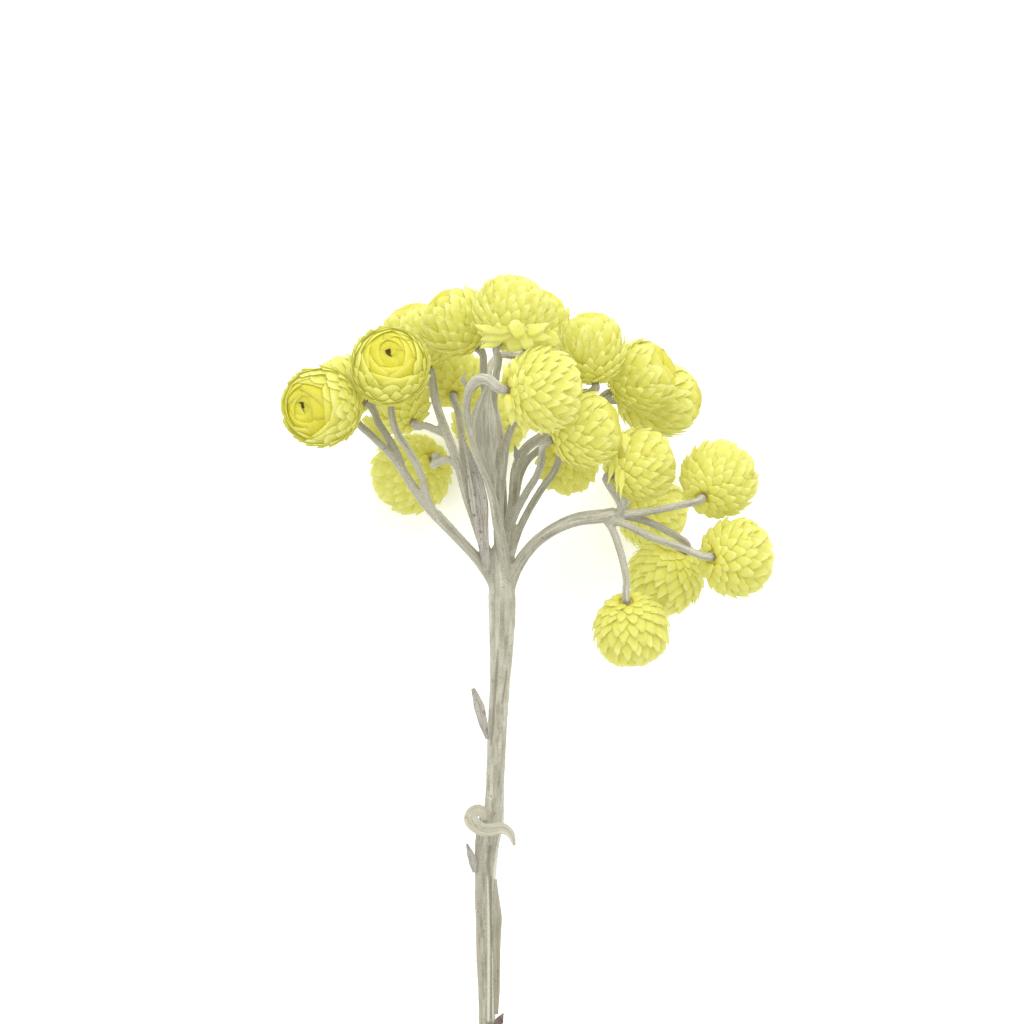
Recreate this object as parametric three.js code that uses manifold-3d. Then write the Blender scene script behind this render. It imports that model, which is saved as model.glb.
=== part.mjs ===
// Dried everlasting flower stem: one cut, felted sprig that forks into many
// peduncles, each with one round head of overlapping papery bracts.
// It lies on a table. Millimetres: +Y runs from the cut end to the flowers, +Z is up.
import * as THREE from "three";
import { mergeVertices } from "three/addons/utils/BufferGeometryUtils.js";
import Module from "manifold-3d";

const wasm = await Module();
wasm.setup();

// Driving sizes.
const GAP = 0.3; // clearance between pieces that touch on the plant
const STEM_SIDES = 12;
const STEM_RIB = 0.06; // share by which every second edge of the stem stands proud
const STEM_STEPS = 16;
const BRANCH_SIDES = 7;
const STALK_SIDES = 6;
const MM_PER_STALK_STEP = 3.6;
const STALK_RADIUS = 0.58;
const CUP_RADIUS = 0.95; // the flare that carries a head
const CUP_LENGTH = 1.8;
const BLADE_THICKNESS = 0.62;

// A head's rows of bracts: equal steps of angle from its base to its crown.
const BRACT_ROWS = 6;
const BRACTS_ROUND = { large: 10, small: 9 };
const SMALL_HEAD = 5; // radius under which a head has fewer bracts round it
const FIRST_ROW = 0.18; // radians from the base
const LAST_ROW = 2.72;
const TIP_REACH = 1.5; // rows that a tip reaches past its own root
const NOTCH_REACH = 0.88;
const CORE_SHARE = 0.79; // radius of the core over the head's
const NOTCH_RISE = 0.12;
const CROWN_SHARE = 0.66; // radius at the bottom of the crown's dimple
const BASE_SHARE = 0.9; // distance from the centre to the rim of the flat base
const JITTER = 0.035;
const FIRST_SEED = 11;

const COLOURS = {
  stem: 0xbdb7a4,
  felt: 0xaaa591,
  pale: 0xd0ccba,
  withered: 0x5d463c,
  bract: 0xe3e05e,
};

// Each head: its centre, its radius, the way its crown faces,
// and its length over its width where they differ.
const HEADS = [
  { name: "head_01", at: [-28.3, 104.55, 34.0], radius: 6.0, faces: [-0.51, -0.08, 0.85] },
  { name: "head_02", at: [-18.2, 110.5, 36.0], radius: 5.9, faces: [0.02, 0.35, 0.94] },
  { name: "head_03", at: [-14.3, 115.0, 19.0], radius: 5.35, faces: [-0.36, 0.92, -0.1] },
  { name: "head_04", at: [-8.1, 117.15, 28.0], radius: 5.3, faces: [-0.6, 0.75, 0.25] },
  { name: "head_05", at: [0.0, 118.4, 37.0], radius: 5.7, faces: [0.38, 0.85, -0.35] },
  { name: "head_06", at: [3.8, 117.45, 3.85], radius: 5.0, faces: [0.35, 0.9, -0.2] },
  { name: "head_07", at: [12.0, 113.2, 31.0], radius: 4.85, length: 1.17, faces: [-0.08, 0.97, 0.15] },
  { name: "head_08", at: [4.35, 107.0, 41.0], radius: 6.1, faces: [0.95, 0.1, 0.1] },
  { name: "head_09", at: [10.8, 101.1, 32.5], radius: 5.6, faces: [0.88, 0.15, 0.35] },
  { name: "head_10", at: [19.3, 109.1, 23.0], radius: 5.4, faces: [0.85, 0.45, 0.1] },
  { name: "head_11", at: [22.1, 105.65, 12.6], radius: 5.45, length: 1.22, faces: [0.97, 0.0, -0.16] },
  { name: "head_12", at: [19.0, 95.85, 25.5], radius: 5.4, faces: [0.8, 0.3, -0.45] },
  { name: "head_13", at: [8.25, 96.15, 16.5], radius: 4.5, faces: [0.15, -0.3, -0.94] },
  { name: "head_14", at: [21.1, 88.75, 4.15], radius: 5.4, faces: [0.7, -0.3, -0.4] },
  { name: "head_15", at: [30.85, 93.6, 24.0], radius: 5.65, faces: [0.45, 0.5, -0.74] },
  { name: "head_16", at: [33.4, 82.0, 27.0], radius: 5.8, length: 0.9, faces: [0.75, -0.02, -0.66] },
  { name: "head_17", at: [23.2, 79.3, 18.6], radius: 5.65, faces: [-0.5, -0.7, -0.5] },
  { name: "head_18", at: [17.85, 71.35, 27.0], radius: 5.55, faces: [0.14, -0.8, -0.56] },
  { name: "head_19", at: [-15.1, 94.7, 4.5], radius: 5.9, faces: [-0.6, -0.4, -0.69] },
  { name: "head_20", at: [-16.95, 105.15, 16.0], radius: 4.7, faces: [-0.5, 0.65, -0.55] },
  { name: "head_21", at: [-8.8, 108.9, 13.0], radius: 4.5, faces: [0, 0.6, -0.8] },
  { name: "head_22", at: [-3.3, 102.6, 6.2], radius: 5.55, faces: [0, 0.35, -0.94] },
  { name: "head_23", at: [-25.05, 107.4, 22.6], radius: 4.75, faces: [-0.72, 0.5, -0.4] },
];

// The main stem, from the cut end to the fork: where its middle runs and its radius.
const STEM = [
  { at: [-3.8, 0.0, 1.2], radius: 1.25 },
  { at: [-3.75, 12.0, 4.4], radius: 1.3 },
  { at: [-4.0, 25.0, 7.7], radius: 1.3 },
  { at: [-4.1, 35.5, 10.3], radius: 1.5 },
  { at: [-3.4, 40.5, 11.6], radius: 1.5 },
  { at: [-2.7, 45.6, 12.9], radius: 1.45 },
  { at: [-2.3, 54.6, 15.1], radius: 1.4 },
  { at: [-1.95, 60.6, 16.6], radius: 1.45 },
  { at: [-1.6, 68.1, 18.4], radius: 1.48 },
  { at: [-1.5, 75.6, 20.2], radius: 1.75 },
  { at: [-1.7, 80.0, 21.3], radius: 2.05 },
  { at: [-1.9, 83.6, 22.0], radius: 1.2 },
];

// Raised strands on the stem, where the base of a leaf runs down it.
const STRANDS = [
  {
    radius: [0.3, 0.45, 0.5, 0.4, 0.38, 0.34],
    route: [
      [-1.5, 51.0, 14.0],
      [-1.5, 42.3, 12.0],
      [-2.2, 38.8, 11.5],
      [-2.7, 35.0, 10.7],
      [-3.0, 30.6, 10.0],
      [-3.0, 12.0, 5.4],
    ],
  },
  {
    radius: [0.5, 0.7, 0.6, 0.4, 0.3],
    route: [
      [-4.3, 43.6, 12.6],
      [-4.9, 39.9, 11.6],
      [-4.9, 34.0, 10.2],
      [-4.8, 26.1, 8.4],
      [-4.6, 15.6, 5.8],
    ],
  },
];

// Branches that carry more than one head. A route starts inside what it grows from.
const BRANCHES = [
  {
    radius: [0.9, 0.84, 0.8, 0.78, 0.84, 0.9],
    route: [
      [-2.2, 77.0, 20.4],
      [-3.5, 79.4, 21.0],
      [-5.1, 81.7, 22.0],
      [-6.85, 83.6, 23.0],
      [-9.0, 85.9, 24.1],
      [-11.5, 88.5, 25.2],
    ],
  },
  {
    radius: [0.75, 0.66],
    route: [
      [-11.4, 88.2, 25.1],
      [-13.1, 90.2, 25.7],
      [-15.1, 93.0, 26.3],
      [-16.2, 94.8, 26.7],
      [-17.4, 96.5, 27.0],
    ],
  },
  {
    radius: [1.0, 0.95, 0.9, 0.88, 0.92, 1.0, 1.12, 1.05],
    route: [
      [-0.8, 75.6, 20.2],
      [-0.1, 78.6, 20.8],
      [1.2, 81.3, 21.6],
      [3.45, 84.15, 23.0],
      [6.45, 86.3, 24.6],
      [9.45, 87.6, 25.8],
      [13.2, 88.15, 26.8],
      [15.4, 88.5, 27.1],
    ],
  },
];

// Peduncles, one to a head. A route stops short of the head, and the cup under its base follows.
const PEDUNCLES = {
  head_01: [[-17.2, 96.2, 27.0], [-19.05, 98.3, 27.1], [-21.0, 100.2, 27.3], [-22.8, 101.9, 27.6]],
  head_02: [
    [-11.4, 88.4, 25.2],
    [-12.6, 90.6, 26.1],
    [-13.6, 94.4, 27.6],
    [-15.2, 97.6, 28.8],
    [-17.6, 101.6, 29.8],
  ],
  head_03: [
    [-2.2, 78.0, 20.6],
    [-3.3, 80.8, 21.5],
    [-5.6, 87.6, 22.4],
    [-6.7, 90.8, 22.5],
    [-8.3, 96.6, 22.1],
    [-10.0, 101.1, 21.0],
    [-11.5, 105.6, 20.1],
  ],
  head_04: [
    [-1.9, 79.0, 20.6],
    [-2.1, 83.9, 21.6],
    [-2.7, 93.6, 23.5],
    [-3.3, 101.1, 25.0],
    [-3.8, 105.6, 25.8],
    [-4.3, 108.6, 26.3],
  ],
  head_05: [
    [-1.6, 79.0, 21.0],
    [-1.9, 84.0, 22.8],
    [-2.3, 93.6, 25.2],
    [-2.6, 101.1, 26.5],
    [-2.7, 105.6, 29.2],
    [-2.4, 109.0, 33.0],
    [-2.0, 111.6, 36.4],
  ],
  head_06: [
    [-1.3, 79.0, 20.4],
    [-1.1, 84.6, 19.4],
    [-1.4, 93.6, 17.2],
    [-1.8, 101.1, 15.4],
    [-2.9, 105.6, 13.8],
    [-3.6, 108.9, 11.6],
    [-3.0, 111.4, 9.0],
    [-1.4, 112.6, 6.4],
  ],
  head_07: [
    [-1.6, 80.0, 21.4],
    [-1.8, 87.6, 23.1],
    [-1.3, 95.1, 25.0],
    [-0.2, 101.1, 27.0],
    [1.9, 103.8, 28.2],
    [5.2, 105.6, 29.0],
    [9.0, 106.6, 29.5],
  ],
  head_08: [
    [-1.3, 77.0, 20.6],
    [-1.0, 80.4, 22.0],
    [-1.5, 84.0, 23.8],
    [-2.1, 87.0, 25.0],
    [-2.8, 90.6, 26.6],
    [-3.8, 93.6, 28.3],
    [-5.1, 96.6, 30.2],
    [-6.1, 99.8, 32.2],
    [-6.7, 103.0, 34.0],
    [-6.75, 105.2, 35.4],
    [-6.2, 107.2, 36.8],
    [-4.9, 108.5, 38.1],
    [-3.4, 108.5, 39.4],
  ],
  head_09: [
    [-0.3, 86.4, 21.6],
    [0.9, 89.4, 22.8],
    [2.4, 92.1, 24.4],
    [3.7, 94.2, 26.0],
    [4.4, 96.2, 27.6],
    [4.5, 98.4, 29.0],
  ],
  head_10: [
    [-1.4, 79.0, 21.0],
    [-0.6, 85.6, 21.4],
    [0.2, 90.6, 21.6],
    [0.6, 95.0, 21.8],
    [2.0, 98.2, 22.0],
    [5.0, 100.4, 22.2],
    [9.4, 102.8, 22.3],
    [12.8, 104.9, 22.4],
  ],
  head_11: [
    [-1.2, 79.0, 20.4],
    [0.2, 88.6, 19.6],
    [0.75, 92.1, 19.5],
    [1.2, 94.3, 19.6],
    [2.3, 96.5, 19.8],
    [4.6, 98.6, 19.8],
    [7.2, 101.2, 18.6],
    [10.0, 103.4, 16.2],
    [12.6, 104.9, 14.2],
  ],
  head_12: [[14.4, 88.4, 27.0], [16.2, 88.8, 27.6], [16.2, 90.0, 28.6]],
  head_13: [
    [-0.9, 79.0, 20.4],
    [0.1, 83.2, 20.8],
    [1.2, 86.4, 21.2],
    [2.9, 89.7, 21.6],
    [4.7, 92.6, 21.9],
    [6.2, 94.6, 22.1],
  ],
  head_14: [
    [14.6, 88.6, 26.6],
    [16.2, 88.9, 25.0],
    [17.0, 89.4, 19.0],
    [17.2, 89.8, 13.0],
    [17.2, 90.2, 9.6],
  ],
  head_15: [[14.4, 88.4, 27.1], [17.6, 88.5, 27.2], [20.7, 88.9, 27.6], [25.2, 89.8, 28.2]],
  head_16: [[13.2, 88.0, 26.9], [16.8, 87.0, 27.7], [20.7, 85.1, 28.6], [25.2, 83.5, 29.5]],
  head_17: [[14.4, 88.4, 26.9], [18.0, 88.0, 26.4], [20.9, 87.1, 25.8], [24.2, 85.4, 24.6]],
  head_18: [
    [13.6, 88.2, 26.8],
    [14.9, 86.4, 27.0],
    [15.9, 83.9, 27.5],
    [16.8, 80.4, 28.6],
    [17.1, 78.6, 29.2],
  ],
  head_19: [[-7.8, 95.2, 22.2], [-9.3, 96.6, 20.6], [-11.0, 96.3, 16.5], [-11.8, 95.9, 12.4]],
  head_20: [[-9.5, 100.2, 21.1], [-11.2, 101.0, 20.7], [-13.2, 101.8, 19.8]],
  head_21: [
    [-2.2, 79.0, 20.2],
    [-4.5, 85.4, 20.5],
    [-6.3, 91.4, 20.5],
    [-7.2, 96.5, 20.0],
    [-7.6, 100.4, 19.4],
    [-8.2, 104.4, 18.2],
  ],
  head_22: [[-1.8, 79.6, 19.8], [-1.9, 86.1, 17.6], [-2.6, 93.6, 15.0], [-3.1, 97.6, 13.2]],
  head_23: [[-16.4, 95.4, 26.8], [-17.2, 97.6, 26.6], [-18.6, 100.0, 26.2], [-20.0, 102.2, 25.6]],
};
// Peduncles that aren't of the usual thickness: radii from root to cup.
const UNUSUAL = {
  head_03: [0.7, 0.7, 0.66],
  head_08: [0.85, 0.85, 0.8, 0.6, 0.48, 0.45, 0.5, 0.7, 0.75],
  head_10: [0.8, 0.8, 0.75],
};

// Tiny bracts on the branches: root, tip, the way the face looks, and width.
const TINY_BRACTS = [
  { width: 1.1, up: [0.5, -0.3, 0.8], route: [[-6.0, 106.9, 36.6], [-5.4, 107.6, 37.6], [-5.7, 108.9, 38.9]] },
  { width: 0.9, up: [-0.6, 0.1, 0.8], route: [[-6.5, 107.2, 36.2], [-7.2, 108.5, 36.6], [-7.0, 109.7, 36.9]] },
  { width: 1.0, up: [0.3, -0.4, 0.8], route: [[-0.9, 82.0, 22.4], [0.2, 82.8, 23.2], [0.5, 83.7, 23.6]] },
  { width: 1.1, up: [0.1, -0.3, 0.9], route: [[0.9, 96.2, 21.8], [0.7, 97.6, 23.0], [0.4, 98.8, 23.6]] },
];

// Leaves and one loose bract: the middle line, the way the face looks, and half the width along it.
const BLADES = [
  {
    name: "leaf_lance",
    colour: COLOURS.felt,
    route: [[-3.9, 55.5, 16.6], [-4.45, 57.7, 17.0], [-5.0, 59.9, 17.1], [-5.85, 62.3, 17.3]],
    up: [-0.35, -0.1, 0.9],
    halfWidth: [0.3, 0.78, 0.7, 0.15],
    cup: 0.18,
  },
  {
    name: "leaf_curled",
    colour: COLOURS.pale,
    route: [
      [-5.2, 43.9, 13.0],
      [-5.9, 43.6, 13.4],
      [-6.15, 42.3, 13.9],
      [-5.5, 41.2, 14.4],
      [-4.4, 40.7, 14.5],
      [-3.0, 40.9, 14.6],
      [-1.4, 40.95, 14.4],
      [-0.2, 40.2, 13.8],
      [0.4, 38.6, 13.0],
    ],
    up: [0.3, 0.3, 1],
    halfWidth: [0.4, 0.6, 0.75, 0.85, 0.9, 0.9, 0.85, 0.65, 0.16],
    cup: 0.3,
  },
  {
    name: "leaf_stub",
    colour: COLOURS.felt,
    route: [[-5.9, 34.9, 11.2], [-6.15, 36.7, 11.6], [-6.75, 38.9, 11.7]],
    up: [-0.5, 0, 0.85],
    halfWidth: [0.3, 0.5, 0.12],
    cup: 0.15,
  },
  {
    name: "leaf_strap",
    colour: COLOURS.pale,
    route: [
      [-2.3, 33.0, 11.4],
      [-2.15, 30.0, 10.5],
      [-2.05, 27.7, 9.9],
      [-2.15, 24.6, 9.0],
      [-2.1, 20.0, 7.7],
      [-2.05, 14.8, 6.3],
    ],
    up: [0.45, 0, 0.9],
    halfWidth: [0.14, 0.45, 0.6, 0.3, 0.38, 0.2],
    cup: 0.12,
  },
  {
    name: "leaf_felted",
    colour: COLOURS.felt,
    route: [
      [-3.6, 79.8, 23.2],
      [-3.95, 81.8, 23.9],
      [-4.3, 84.4, 24.6],
      [-4.65, 87.6, 24.8],
      [-4.95, 90.6, 24.9],
      [-6.2, 96.4, 25.0],
      [-7.3, 99.9, 24.3],
    ],
    up: [-0.1, -0.1, 1],
    halfWidth: [0.45, 0.75, 1.05, 1.43, 1.25, 0.62, 0.16],
    cup: 0.3,
  },
  {
    name: "leaf_spoon",
    colour: COLOURS.pale,
    route: [
      [-3.6, 93.2, 26.8],
      [-3.85, 95.6, 27.6],
      [-3.95, 98.2, 28.8],
      [-4.0, 101.2, 30.2],
      [-4.1, 104.4, 31.8],
      [-3.9, 106.4, 32.8],
    ],
    up: [0, -0.4, 0.9],
    halfWidth: [0.4, 0.6, 1.2, 1.8, 2.2, 1.5],
    cup: 0.3,
  },
  {
    name: "bract_loose",
    colour: COLOURS.bract,
    route: [[-17.8, 98.3, 24.8], [-19.2, 99.9, 24.8], [-20.8, 101.6, 24.8], [-22.2, 103.0, 24.7]],
    up: [0.1, -0.1, 1],
    halfWidth: [0.3, 0.6, 0.65, 0.3],
    cup: 0.2,
  },
  {
    name: "leaf_withered",
    colour: COLOURS.withered,
    route: [[-3.1, 8.6, 5.4], [-2.6, 10.2, 5.8], [-2.0, 11.8, 5.9], [-1.3, 13.0, 5.6]],
    up: [0.2, -0.2, 1],
    halfWidth: [0.4, 0.8, 0.7, 0.14],
    cup: 0.2,
  },
];

// A repeatable draw of numbers from 0 to 1.
function draws(seed) {
  let state = seed >>> 0;
  return () => {
    state = (Math.imul(state, 1664525) + 1013904223) >>> 0;
    return state / 4294967296;
  };
}

const vec = (p) => new THREE.Vector3(...p);

function geometryOf(points, triangles) {
  const flat = points.flatMap((p) => [p.x, p.y, p.z]);
  const geometry = new THREE.BufferGeometry();
  geometry.setAttribute("position", new THREE.Float32BufferAttribute(flat, 3));
  geometry.setIndex(triangles);
  return geometry;
}

function solidOf(geometry) {
  const plain = geometry.clone();
  plain.deleteAttribute("normal");
  plain.deleteAttribute("uv");
  const merged = mergeVertices(plain, 1e-4);
  const vertProperties = new Float32Array(merged.attributes.position.array);
  const triVerts = new Uint32Array(merged.index.array);
  return new wasm.Manifold(new wasm.Mesh({ numProp: 3, vertProperties, triVerts }));
}

function geometryFrom(solid) {
  const { vertProperties, triVerts } = solid.getMesh();
  const geometry = new THREE.BufferGeometry();
  geometry.setAttribute("position", new THREE.BufferAttribute(new Float32Array(vertProperties), 3));
  geometry.setIndex(new THREE.BufferAttribute(new Uint32Array(triVerts), 1));
  return geometry;
}

// Closes a stack of equal rings into a solid, with a point at the middle of each end.
function closeRings(rings, first, last) {
  const round = rings[0].length;
  const points = rings.flat();
  const start = points.push(first) - 1;
  const end = points.push(last) - 1;
  const top = (rings.length - 1) * round;
  const triangles = [];
  for (let j = 0; j < round; j++) {
    const next = (j + 1) % round;
    triangles.push(start, next, j);
    triangles.push(end, top + j, top + next);
    for (let i = 0; i < rings.length - 1; i++) {
      const low = i * round;
      const high = low + round;
      triangles.push(low + j, low + next, high + next);
      triangles.push(low + j, high + next, high + j);
    }
  }
  return geometryOf(points, triangles);
}

// Frames that turn with a curve without twisting, starting from a chosen side.
function framesAlong(curve, steps, side) {
  const frames = [];
  let across = side.clone();
  for (let i = 0; i <= steps; i++) {
    const point = curve.getPointAt(i / steps);
    const along = curve.getTangentAt(i / steps);
    across = across.clone().addScaledVector(along, -across.dot(along)).normalize();
    frames.push({ point, along, across, third: along.clone().cross(across) });
  }
  return frames;
}

// A round stalk along a route, with its radius given at each share of its length.
function stalk(points, radiusAt, sides, steps, rib = 0) {
  const curve = new THREE.CatmullRomCurve3(points, false, "centripetal");
  const rings = framesAlong(curve, steps, new THREE.Vector3(0, 0, 1)).map((frame, i) => {
    const radius = radiusAt(i / steps, curve.getLength());
    return Array.from({ length: sides }, (_, j) => {
      const turn = (2 * Math.PI * j) / sides;
      const reach = radius * (1 + (j % 2 ? -rib : rib));
      return frame.point
        .clone()
        .addScaledVector(frame.across, reach * Math.cos(turn))
        .addScaledVector(frame.third, reach * Math.sin(turn));
    });
  });
  return closeRings(rings, points[0].clone(), points[points.length - 1].clone());
}

// Reads a list of values at a share of its length.
function along(values, share) {
  const place = share * (values.length - 1);
  const index = Math.min(Math.floor(place), values.length - 2);
  return THREE.MathUtils.lerp(values[index], values[index + 1], place - index);
}

// A leaf blade: a cupped strip of even thickness that narrows to its tip.
function blade({ route, up, halfWidth, cup, thickness = BLADE_THICKNESS, steps }) {
  const curve = new THREE.CatmullRomCurve3(route.map(vec), false, "centripetal");
  const count = steps ?? 2 * (route.length - 1);
  const rings = framesAlong(curve, count, vec(up).normalize()).map((frame, i) => {
    const half = along(halfWidth, i / count);
    const rise = cup * half;
    const thin = thickness / 2;
    const corners = [
      [-half, rise + thin * 0.5],
      [0, thin],
      [half, rise + thin * 0.5],
      [half, rise - thin * 0.5],
      [0, -thin],
      [-half, rise - thin * 0.5],
    ];
    return corners.map(([x, z]) =>
      frame.point.clone().addScaledVector(frame.third, x).addScaledVector(frame.across, z),
    );
  });
  const middle = (ring) => ring.reduce((sum, p) => sum.add(p), vec([0, 0, 0])).divideScalar(ring.length);
  return closeRings(rings, middle(rings[0]), middle(rings[rings.length - 1]));
}

// A point on the head's axis, a given distance below its flat base.
function belowBase(head, distance) {
  const reach = head.radius * (head.length ?? 1) * BASE_SHARE + distance;
  return vec(head.at).addScaledVector(vec(head.faces).normalize(), -reach);
}

// A stalk's radius: its own, then flared into the small cup that carries the head.
function peduncleRadius(radii) {
  return (share, length) => {
    const left = (1 - share) * length;
    const flare = THREE.MathUtils.clamp(1 - left / CUP_LENGTH, 0, 1);
    return THREE.MathUtils.lerp(along(radii, share), CUP_RADIUS, flare);
  };
}

function peduncle(head) {
  const cup = [belowBase(head, GAP + CUP_LENGTH * 0.8), belowBase(head, GAP)];
  const points = [...PEDUNCLES[head.name].map(vec), ...cup];
  const curve = new THREE.CatmullRomCurve3(points, false, "centripetal");
  const steps = Math.max(4, Math.round(curve.getLength() / MM_PER_STALK_STEP));
  const radii = UNUSUAL[head.name] ?? [STALK_RADIUS, STALK_RADIUS];
  return stalk(points, peduncleRadius(radii), STALK_SIDES, steps);
}

function mainStem() {
  const radii = STEM.map((station) => station.radius);
  const points = STEM.map((station) => vec(station.at));
  return stalk(points, (share) => along(radii, share), STEM_SIDES, STEM_STEPS, STEM_RIB);
}

function branch({ route, radius }) {
  const steps = Math.round(1.5 * (route.length - 1));
  return stalk(route.map(vec), (share) => along(radius, share), BRANCH_SIDES, steps);
}

function strand({ route, radius }) {
  return stalk(route.map(vec), (share) => along(radius, share), STALK_SIDES, 2 * (route.length - 1));
}

function tinyBract({ route, up, width }) {
  return blade({ route, up, halfWidth: [width * 0.35, width / 2, 0.1], cup: 0.25, steps: 3 });
}

// The outer skin of a joined solid: a hollow that joining sealed is filled and a loose scrap is dropped.
function outerBody(solid) {
  return solid.decompose().reduce((largest, body) => (body.volume() > largest.volume() ? body : largest));
}

// The whole grown frame: stem, branches, peduncles and tiny bracts in one solid.
function grownStem() {
  const parts = [
    mainStem(),
    ...STRANDS.map(strand),
    ...BRANCHES.map(branch),
    ...HEADS.map(peduncle),
    ...TINY_BRACTS.map(tinyBract),
  ];
  return geometryFrom(outerBody(parts.map(solidOf).reduce((whole, part) => whole.add(part))));
}

// One ring of a head: a point for each bract's middle and one for each gap beside it.
function bractRing(count, place) {
  return Array.from({ length: 2 * count }, (_, j) => {
    const { polar, reach } = place(j);
    const turn = (Math.PI * j) / count;
    const flat = reach * Math.sin(polar);
    return new THREE.Vector3(flat * Math.cos(turn), flat * Math.sin(turn), -reach * Math.cos(polar));
  });
}

// A head about its own centre with its crown at +Z: rows of overhanging pointed bracts,
// each row turned by half a bract from the one below, closing over a dimple.
function bractHead(radius, seed) {
  const draw = draws(seed);
  const jitter = () => 1 + JITTER * (2 * draw() - 1);
  const step = (LAST_ROW - FIRST_ROW) / BRACT_ROWS;
  const core = radius * CORE_SHARE;
  const count = radius < SMALL_HEAD ? BRACTS_ROUND.small : BRACTS_ROUND.large;
  const rings = [];
  for (let row = 0; row < BRACT_ROWS; row++) {
    const root = FIRST_ROW + row * step;
    const height = row / (BRACT_ROWS - 1);
    const spread = radius * (0.96 + 0.04 * Math.sin(Math.PI * Math.min(1, height * 1.25)));
    const lean = 1 - 0.35 * height * height;
    const floor = row === 0 ? radius * BASE_SHARE : core;
    rings.push(bractRing(count, () => ({ polar: root, reach: floor })));
    rings.push(
      bractRing(count, (j) => {
        const isTip = (j + row) % 2 === 0;
        if (!isTip) return { polar: root + NOTCH_REACH * step, reach: core + NOTCH_RISE * radius };
        return { polar: root + TIP_REACH * lean * step, reach: spread * jitter() };
      }),
    );
  }
  rings.push(bractRing(count, () => ({ polar: LAST_ROW, reach: core })));
  const base = new THREE.Vector3(0, 0, -radius * BASE_SHARE * Math.cos(FIRST_ROW));
  return closeRings(rings, base, new THREE.Vector3(0, 0, radius * CROWN_SHARE));
}

function placedHead(head, index) {
  const crown = new THREE.Vector3(0, 0, 1);
  const turn = new THREE.Quaternion().setFromUnitVectors(crown, vec(head.faces).normalize());
  const size = new THREE.Vector3(1, 1, head.length ?? 1);
  const geometry = bractHead(head.radius, FIRST_SEED + index);
  geometry.applyMatrix4(new THREE.Matrix4().compose(vec(head.at), turn, size));
  return geometry;
}

// What would reach below the table is cut off flat, as it lies pressed on it.
function trimToTable(geometry) {
  geometry.computeBoundingBox();
  if (geometry.boundingBox.min.z >= 0) return geometry;
  const below = new THREE.BoxGeometry(400, 400, 40).translate(0, 100, -20);
  return geometryFrom(solidOf(geometry).subtract(solidOf(below)));
}

function piece(name, geometry, colour, roughness) {
  const look = { color: colour, roughness, metalness: 0, flatShading: true };
  const material = new THREE.MeshStandardMaterial(look);
  const mesh = new THREE.Mesh(trimToTable(geometry), material);
  mesh.name = name;
  return mesh;
}

const sprig = new THREE.Group();
sprig.add(piece("stem", grownStem(), COLOURS.stem, 0.9));
HEADS.forEach((head, index) => sprig.add(piece(head.name, placedHead(head, index), COLOURS.bract, 0.55)));
BLADES.forEach((leaf) => sprig.add(piece(leaf.name, blade(leaf), leaf.colour, 0.9)));

// The origin is on the table under the middle of the sprig's box.
const box = new THREE.Box3().setFromObject(sprig, true);
const middle = box.getCenter(new THREE.Vector3());
sprig.position.set(-middle.x, -middle.y, -box.min.z);

export default sprig;
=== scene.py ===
"""Looks of a dried everlasting flower stem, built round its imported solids.

The sprig lies on a pale table and the camera looks straight down on it. Every length in the tables below
is in millimetres in the sprig's own coordinates: +Y runs from the cut end to the flowers and +Z is up from
the table.
"""

from __future__ import annotations

import logging
import math
from dataclasses import dataclass
from enum import Enum
from typing import Callable, Iterable, Optional, Sequence, Union

import bpy
from mathutils import Matrix, Vector, noise
from mathutils.geometry import interpolate_bezier
from mathutils.kdtree import KDTree

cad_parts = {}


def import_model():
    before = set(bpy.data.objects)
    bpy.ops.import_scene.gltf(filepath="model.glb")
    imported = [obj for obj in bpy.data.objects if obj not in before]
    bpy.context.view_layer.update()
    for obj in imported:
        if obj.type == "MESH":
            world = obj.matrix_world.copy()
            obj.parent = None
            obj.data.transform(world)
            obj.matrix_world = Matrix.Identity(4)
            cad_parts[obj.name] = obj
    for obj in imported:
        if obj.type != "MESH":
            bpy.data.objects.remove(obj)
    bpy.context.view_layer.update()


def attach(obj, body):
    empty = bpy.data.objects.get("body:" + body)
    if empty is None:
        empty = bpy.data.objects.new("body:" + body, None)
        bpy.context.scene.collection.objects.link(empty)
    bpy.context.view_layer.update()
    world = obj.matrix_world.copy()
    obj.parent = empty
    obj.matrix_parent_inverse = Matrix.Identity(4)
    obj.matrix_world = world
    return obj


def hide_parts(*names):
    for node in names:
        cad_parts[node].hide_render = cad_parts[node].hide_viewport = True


LOG = logging.getLogger("everlasting")

MM = 0.001
BODY = "root"
GAP = 0.3  # clearance between pieces that touch on the plant
STALK_RADIUS = 0.58
CUP_RADIUS = 0.74  # the flare that carries a head
CUP_LENGTH = 1.8
BASE_SHARE = 0.9  # distance from a head's centre to the rim of its flat base, over its radius
BOX_MIDDLE = Vector((2.241, 61.8, 0.0))  # the middle of the sprig's box, which is the frame's origin
GOLDEN_ANGLE = math.pi * (3 - math.sqrt(5))
TABLE_PRESS = 0.35  # height below which what lies on the table is pressed thin
OPEN_LEVEL = 0.3  # the level on its head that a bract off its head is coloured as
OPEN_TONE = 0.7  # how bright the edge of a bract is that stands clear of its head, a paler margin with a painted highlight
LINE_DETAIL = 12  # places worked out from one point of a route to the next
FINE_DETAIL = 60  # the same for the lines that are only painted on the skin

Point = tuple[float, float, float]
Colour = tuple[float, float, float]
Curve = tuple[tuple[float, float], ...]
Input = Union["Wire", list["Wire"], float, int, str, bool, Sequence[float], bpy.types.ID]


# Node trees as Python expressions.


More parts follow.
